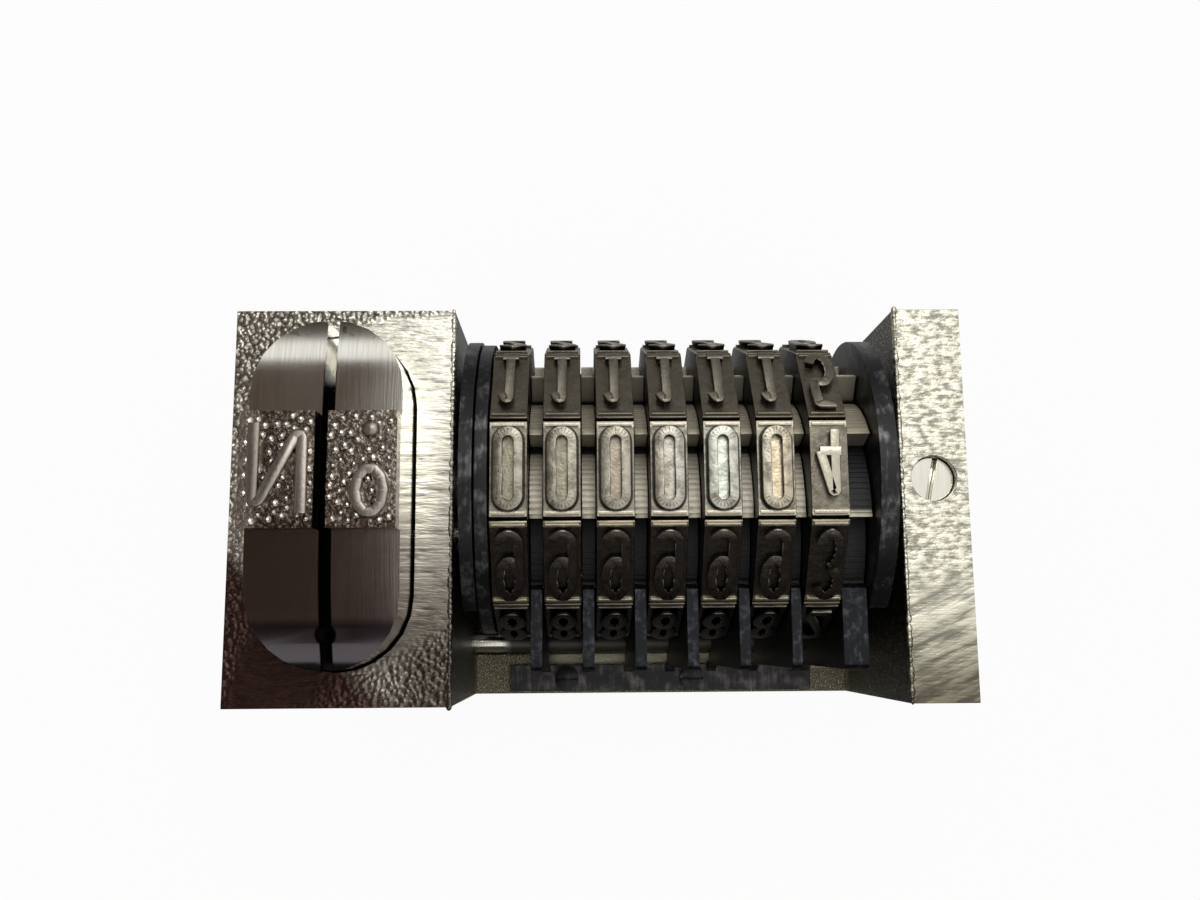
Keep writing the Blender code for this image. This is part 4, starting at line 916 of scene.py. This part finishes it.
# %% Beads of dried ink
bead_inputs = {"Apart": float, "Least": float, "Most": float, "Flat": float, "Seed": int}
graph, given = new_tree("beads", bead_inputs)
MOST_BEADS_PER_SQUARE_METRE = 2e7
strewn = {"Mesh": given["Geometry"], "Distance Min": given["Apart"], "Seed": given["Seed"]}
strewn["Density Max"] = MOST_BEADS_PER_SQUARE_METRE
strewn = graph.node("GeometryNodeDistributePointsOnFaces", {"distribute_method": "POISSON"}, strewn)
drop = graph.node("GeometryNodeMeshIcoSphere", values={"Radius": 1.0, "Subdivisions": 2})
sizes = {2: given["Least"], 3: given["Most"], "Seed": given["Seed"]}
size = graph.node("FunctionNodeRandomValue", {"data_type": "FLOAT"}, sizes, output=1)
swell = graph.node("ShaderNodeCombineXYZ", values={"X": size, "Y": size, "Z": size * given["Flat"]})
laid = {"Points": strewn, "Instance": drop, "Scale": swell}
BEADS = end_tree(graph, graph.node("GeometryNodeInstanceOnPoints", values=laid), given["Metal"])


def flat_patches(name, corners, height):
    """Level patches, each given by its two far corners in x and y."""
    mesh = bpy.data.meshes.new(name)
    points = []
    faces = []
    for x0, y0, x1, y1 in corners:
        first = len(points)
        points += [(x0, y0, height), (x1, y0, height), (x1, y1, height), (x0, y1, height)]
        faces.append(tuple(range(first, first + 4)))
    mesh.from_pydata(points, [], faces)
    return mesh


BAND_HALF = 3.0 * MM
EDGE_INSET = 0.3 * MM
SLIT_HALF = 0.45 * MM
front, rear = band_middle - BAND_HALF + EDGE_INSET, band_middle + BAND_HALF - EDGE_INSET
halves = (
    (plunger_low.x + EDGE_INSET, front, slit_middle - SLIT_HALF, rear),
    (slit_middle + SLIT_HALF, front, plunger_high.x - EDGE_INSET, rear),
)
beads = linked("ink_beads", flat_patches("ink_beads", halves, band_top - 0.01 * MM))
values = {"Apart": 0.44 * MM, "Least": 0.13 * MM, "Most": 0.31 * MM, "Flat": 0.75, "Seed": 5}
grown(beads, BEADS, {**values, "Metal": PLUNGER_STEEL})
joined(plunger, [*sign_pieces, beads])
dress(plunger, "plunger", PLUNGER_STEEL)
print("plunger", len(plunger.data.polygons), "faces")

# %% [markdown]
# The machine is photographed on white, from straight above its face and a little to the front. The floor
# is plain and pale, and the world behind it is white to the camera and to anything that mirrors it.

# %% Floor and world
scene = bpy.context.scene


def stage_plane(name, corners):
    mesh = bpy.data.meshes.new(name)
    mesh.from_pydata([tuple(c * MM for c in corner) for corner in corners], [], [(0, 1, 2, 3)])
    plane = linked(name, mesh)
    return plane


def stage_paint(name):
    paint = bpy.data.materials.new(name)
    paint.use_nodes = True
    graph = Graph(paint.node_tree)
    graph.tree.nodes.clear()
    return paint, graph


FLOOR_REACH = 600
floor_corners = [(x * FLOOR_REACH, y * FLOOR_REACH, 0) for x, y in ((-1, -1), (1, -1), (1, 1), (-1, 1))]
floor = stage_plane("floor", floor_corners)
paper, sheet = stage_paint("white_paper")
path = sheet.tree.nodes.new("ShaderNodeLightPath")
seen = Plug(sheet, path.outputs["Is Camera Ray"])
matt = sheet.node("ShaderNodeBsdfDiffuse", values={"Color": (0.86, 0.86, 0.86, 1.0)})
glow = sheet.node("ShaderNodeEmission", values={"Color": (1, 1, 1, 1), "Strength": 1.0})
both = sheet.node("ShaderNodeMixShader", values={0: seen * 0.95, 1: matt, 2: glow})
sheet.node("ShaderNodeOutputMaterial", values={"Surface": both})
floor.data.materials.append(paper)

world = bpy.data.worlds.new("white_room")
scene.world = world
world.use_nodes = True
room = Graph(world.node_tree)
room.tree.nodes.clear()
path = room.tree.nodes.new("ShaderNodeLightPath")
mirrored = Plug(room, path.outputs["Is Camera Ray"])
for ray in ("Is Glossy Ray", "Is Transmission Ray"):
    mirrored = mirrored.highest(Plug(room, path.outputs[ray]))
air = room.node("ShaderNodeBackground", values={"Color": (1, 1, 1, 1), "Strength": 0.5 + mirrored * 0.5})
room.node("ShaderNodeOutputWorld", values={"Surface": air})
print("floor", 2 * FLOOR_REACH, "mm wide, and a white room")

# %% [markdown]
# Bare metal shows nothing but its surroundings, and in an all-white room it would have no shape. So dark
# cards stand round it, as a photographer's do, and are seen only in reflections. A low one lies before
# the machine and darkens the flats that lean to the front. One hangs over its left and a high one stands
# behind that: the gap between the two is the bright band on the plunger's rear shelf.

# %% Dark cards
SIDE = 90

# Each card: its name, its brightness, and its corners in millimetres.
CARDS = (
    (
        "card_front",
        (0.050, 0.042, 0.035),
        [(-SIDE, -80, 0), (SIDE, -80, 0), (SIDE, -72, 80), (-SIDE, -72, 80)],
    ),
    (
        "card_low",
        (0.06, 0.057, 0.052),
        [(-SIDE, -80, 0.3), (SIDE, -80, 0.3), (SIDE, -13, 0.3), (-SIDE, -13, 0.3)],
    ),
    (
        "card_rear",
        (0.14, 0.135, 0.125),
        [(-SIDE, 80, 0), (SIDE, 80, 0), (SIDE, 80, 45), (-SIDE, 80, 45)],
    ),
    (
        "card_high",
        (0.10, 0.09, 0.075),
        [(-SIDE, 80, 45), (-22, 80, 45), (-22, 80, 101), (-SIDE, 80, 101)],
    ),
    (
        "card_left",
        (0.12, 0.11, 0.10),
        [(-SIDE, -80, 0), (-SIDE, 80, 0), (-SIDE, 80, 90), (-SIDE, -80, 90)],
    ),
    (
        "card_right",
        (0.16, 0.15, 0.13),
        [(SIDE, -80, 0), (SIDE, 80, 0), (SIDE, 80, 80), (SIDE, -80, 80)],
    ),
    (
        "card_over",
        (0.075, 0.055, 0.045),
        [(-SIDE, -62, 95), (-21, -62, 95), (-20.5, 55, 95), (-SIDE, 55, 95)],
    ),
)
for name, colour, corners in CARDS:
    paint, graph = stage_paint(name)
    shine = graph.node("ShaderNodeEmission", values={"Color": (*colour, 1.0), "Strength": 1.0})
    graph.node("ShaderNodeOutputMaterial", values={"Surface": shine})
    card = stage_plane(name, corners)
    card.data.materials.append(paint)
    card.visible_camera = False
    card.visible_diffuse = False
    card.visible_shadow = False
    card.visible_transmission = False
print(len(CARDS), "cards")

# %% [markdown]
# Two large soft lamps light it. The main one hangs above and slightly behind; the other is weak and low
# at the left. Their strength is set so that a colour renders about as it is written.


# %% Lamps
def soft_lamp(name, place, aim, wide, power):
    data = bpy.data.lights.new(name, "AREA")
    data.shape = "SQUARE"
    data.size = wide
    data.energy = power
    lamp = bpy.data.objects.new(name, data)
    lamp.location = place
    lamp.rotation_mode = "QUATERNION"
    lamp.rotation_quaternion = (Vector(aim) - Vector(place)).to_track_quat("-Z", "Y")
    scene.collection.objects.link(lamp)
    return lamp


lamps = (
    soft_lamp("main_lamp", (0.02, 0.07, 0.16), (0, 0, 0.02), 0.06, 0.05),
    soft_lamp("side_lamp", (-0.18, -0.02, 0.08), (0, 0, 0.01), 0.08, 0.02),
)
print(len(lamps), "lamps")

# %% [markdown]
# The camera's place was worked out from the frame's corners in the photograph. It looks almost straight
# down from 84 mm above the bed, so the picture has the strong perspective of a close-up.

# %% Camera
lens = bpy.data.cameras.new("camera")
lens.lens = 35.2
lens.sensor_width = 36.0
lens.clip_start = 0.002
lens.clip_end = 5.0
camera = bpy.data.objects.new("camera", lens)
camera.location = (-1.196 * MM, -7.536 * MM, 83.575 * MM)
camera.rotation_euler = (0.1604, -0.0166, -0.0073)
scene.collection.objects.link(camera)
scene.camera = camera
scene.view_settings.view_transform = "Standard"
print("camera", [round(c / MM, 2) for c in camera.location], "mm")
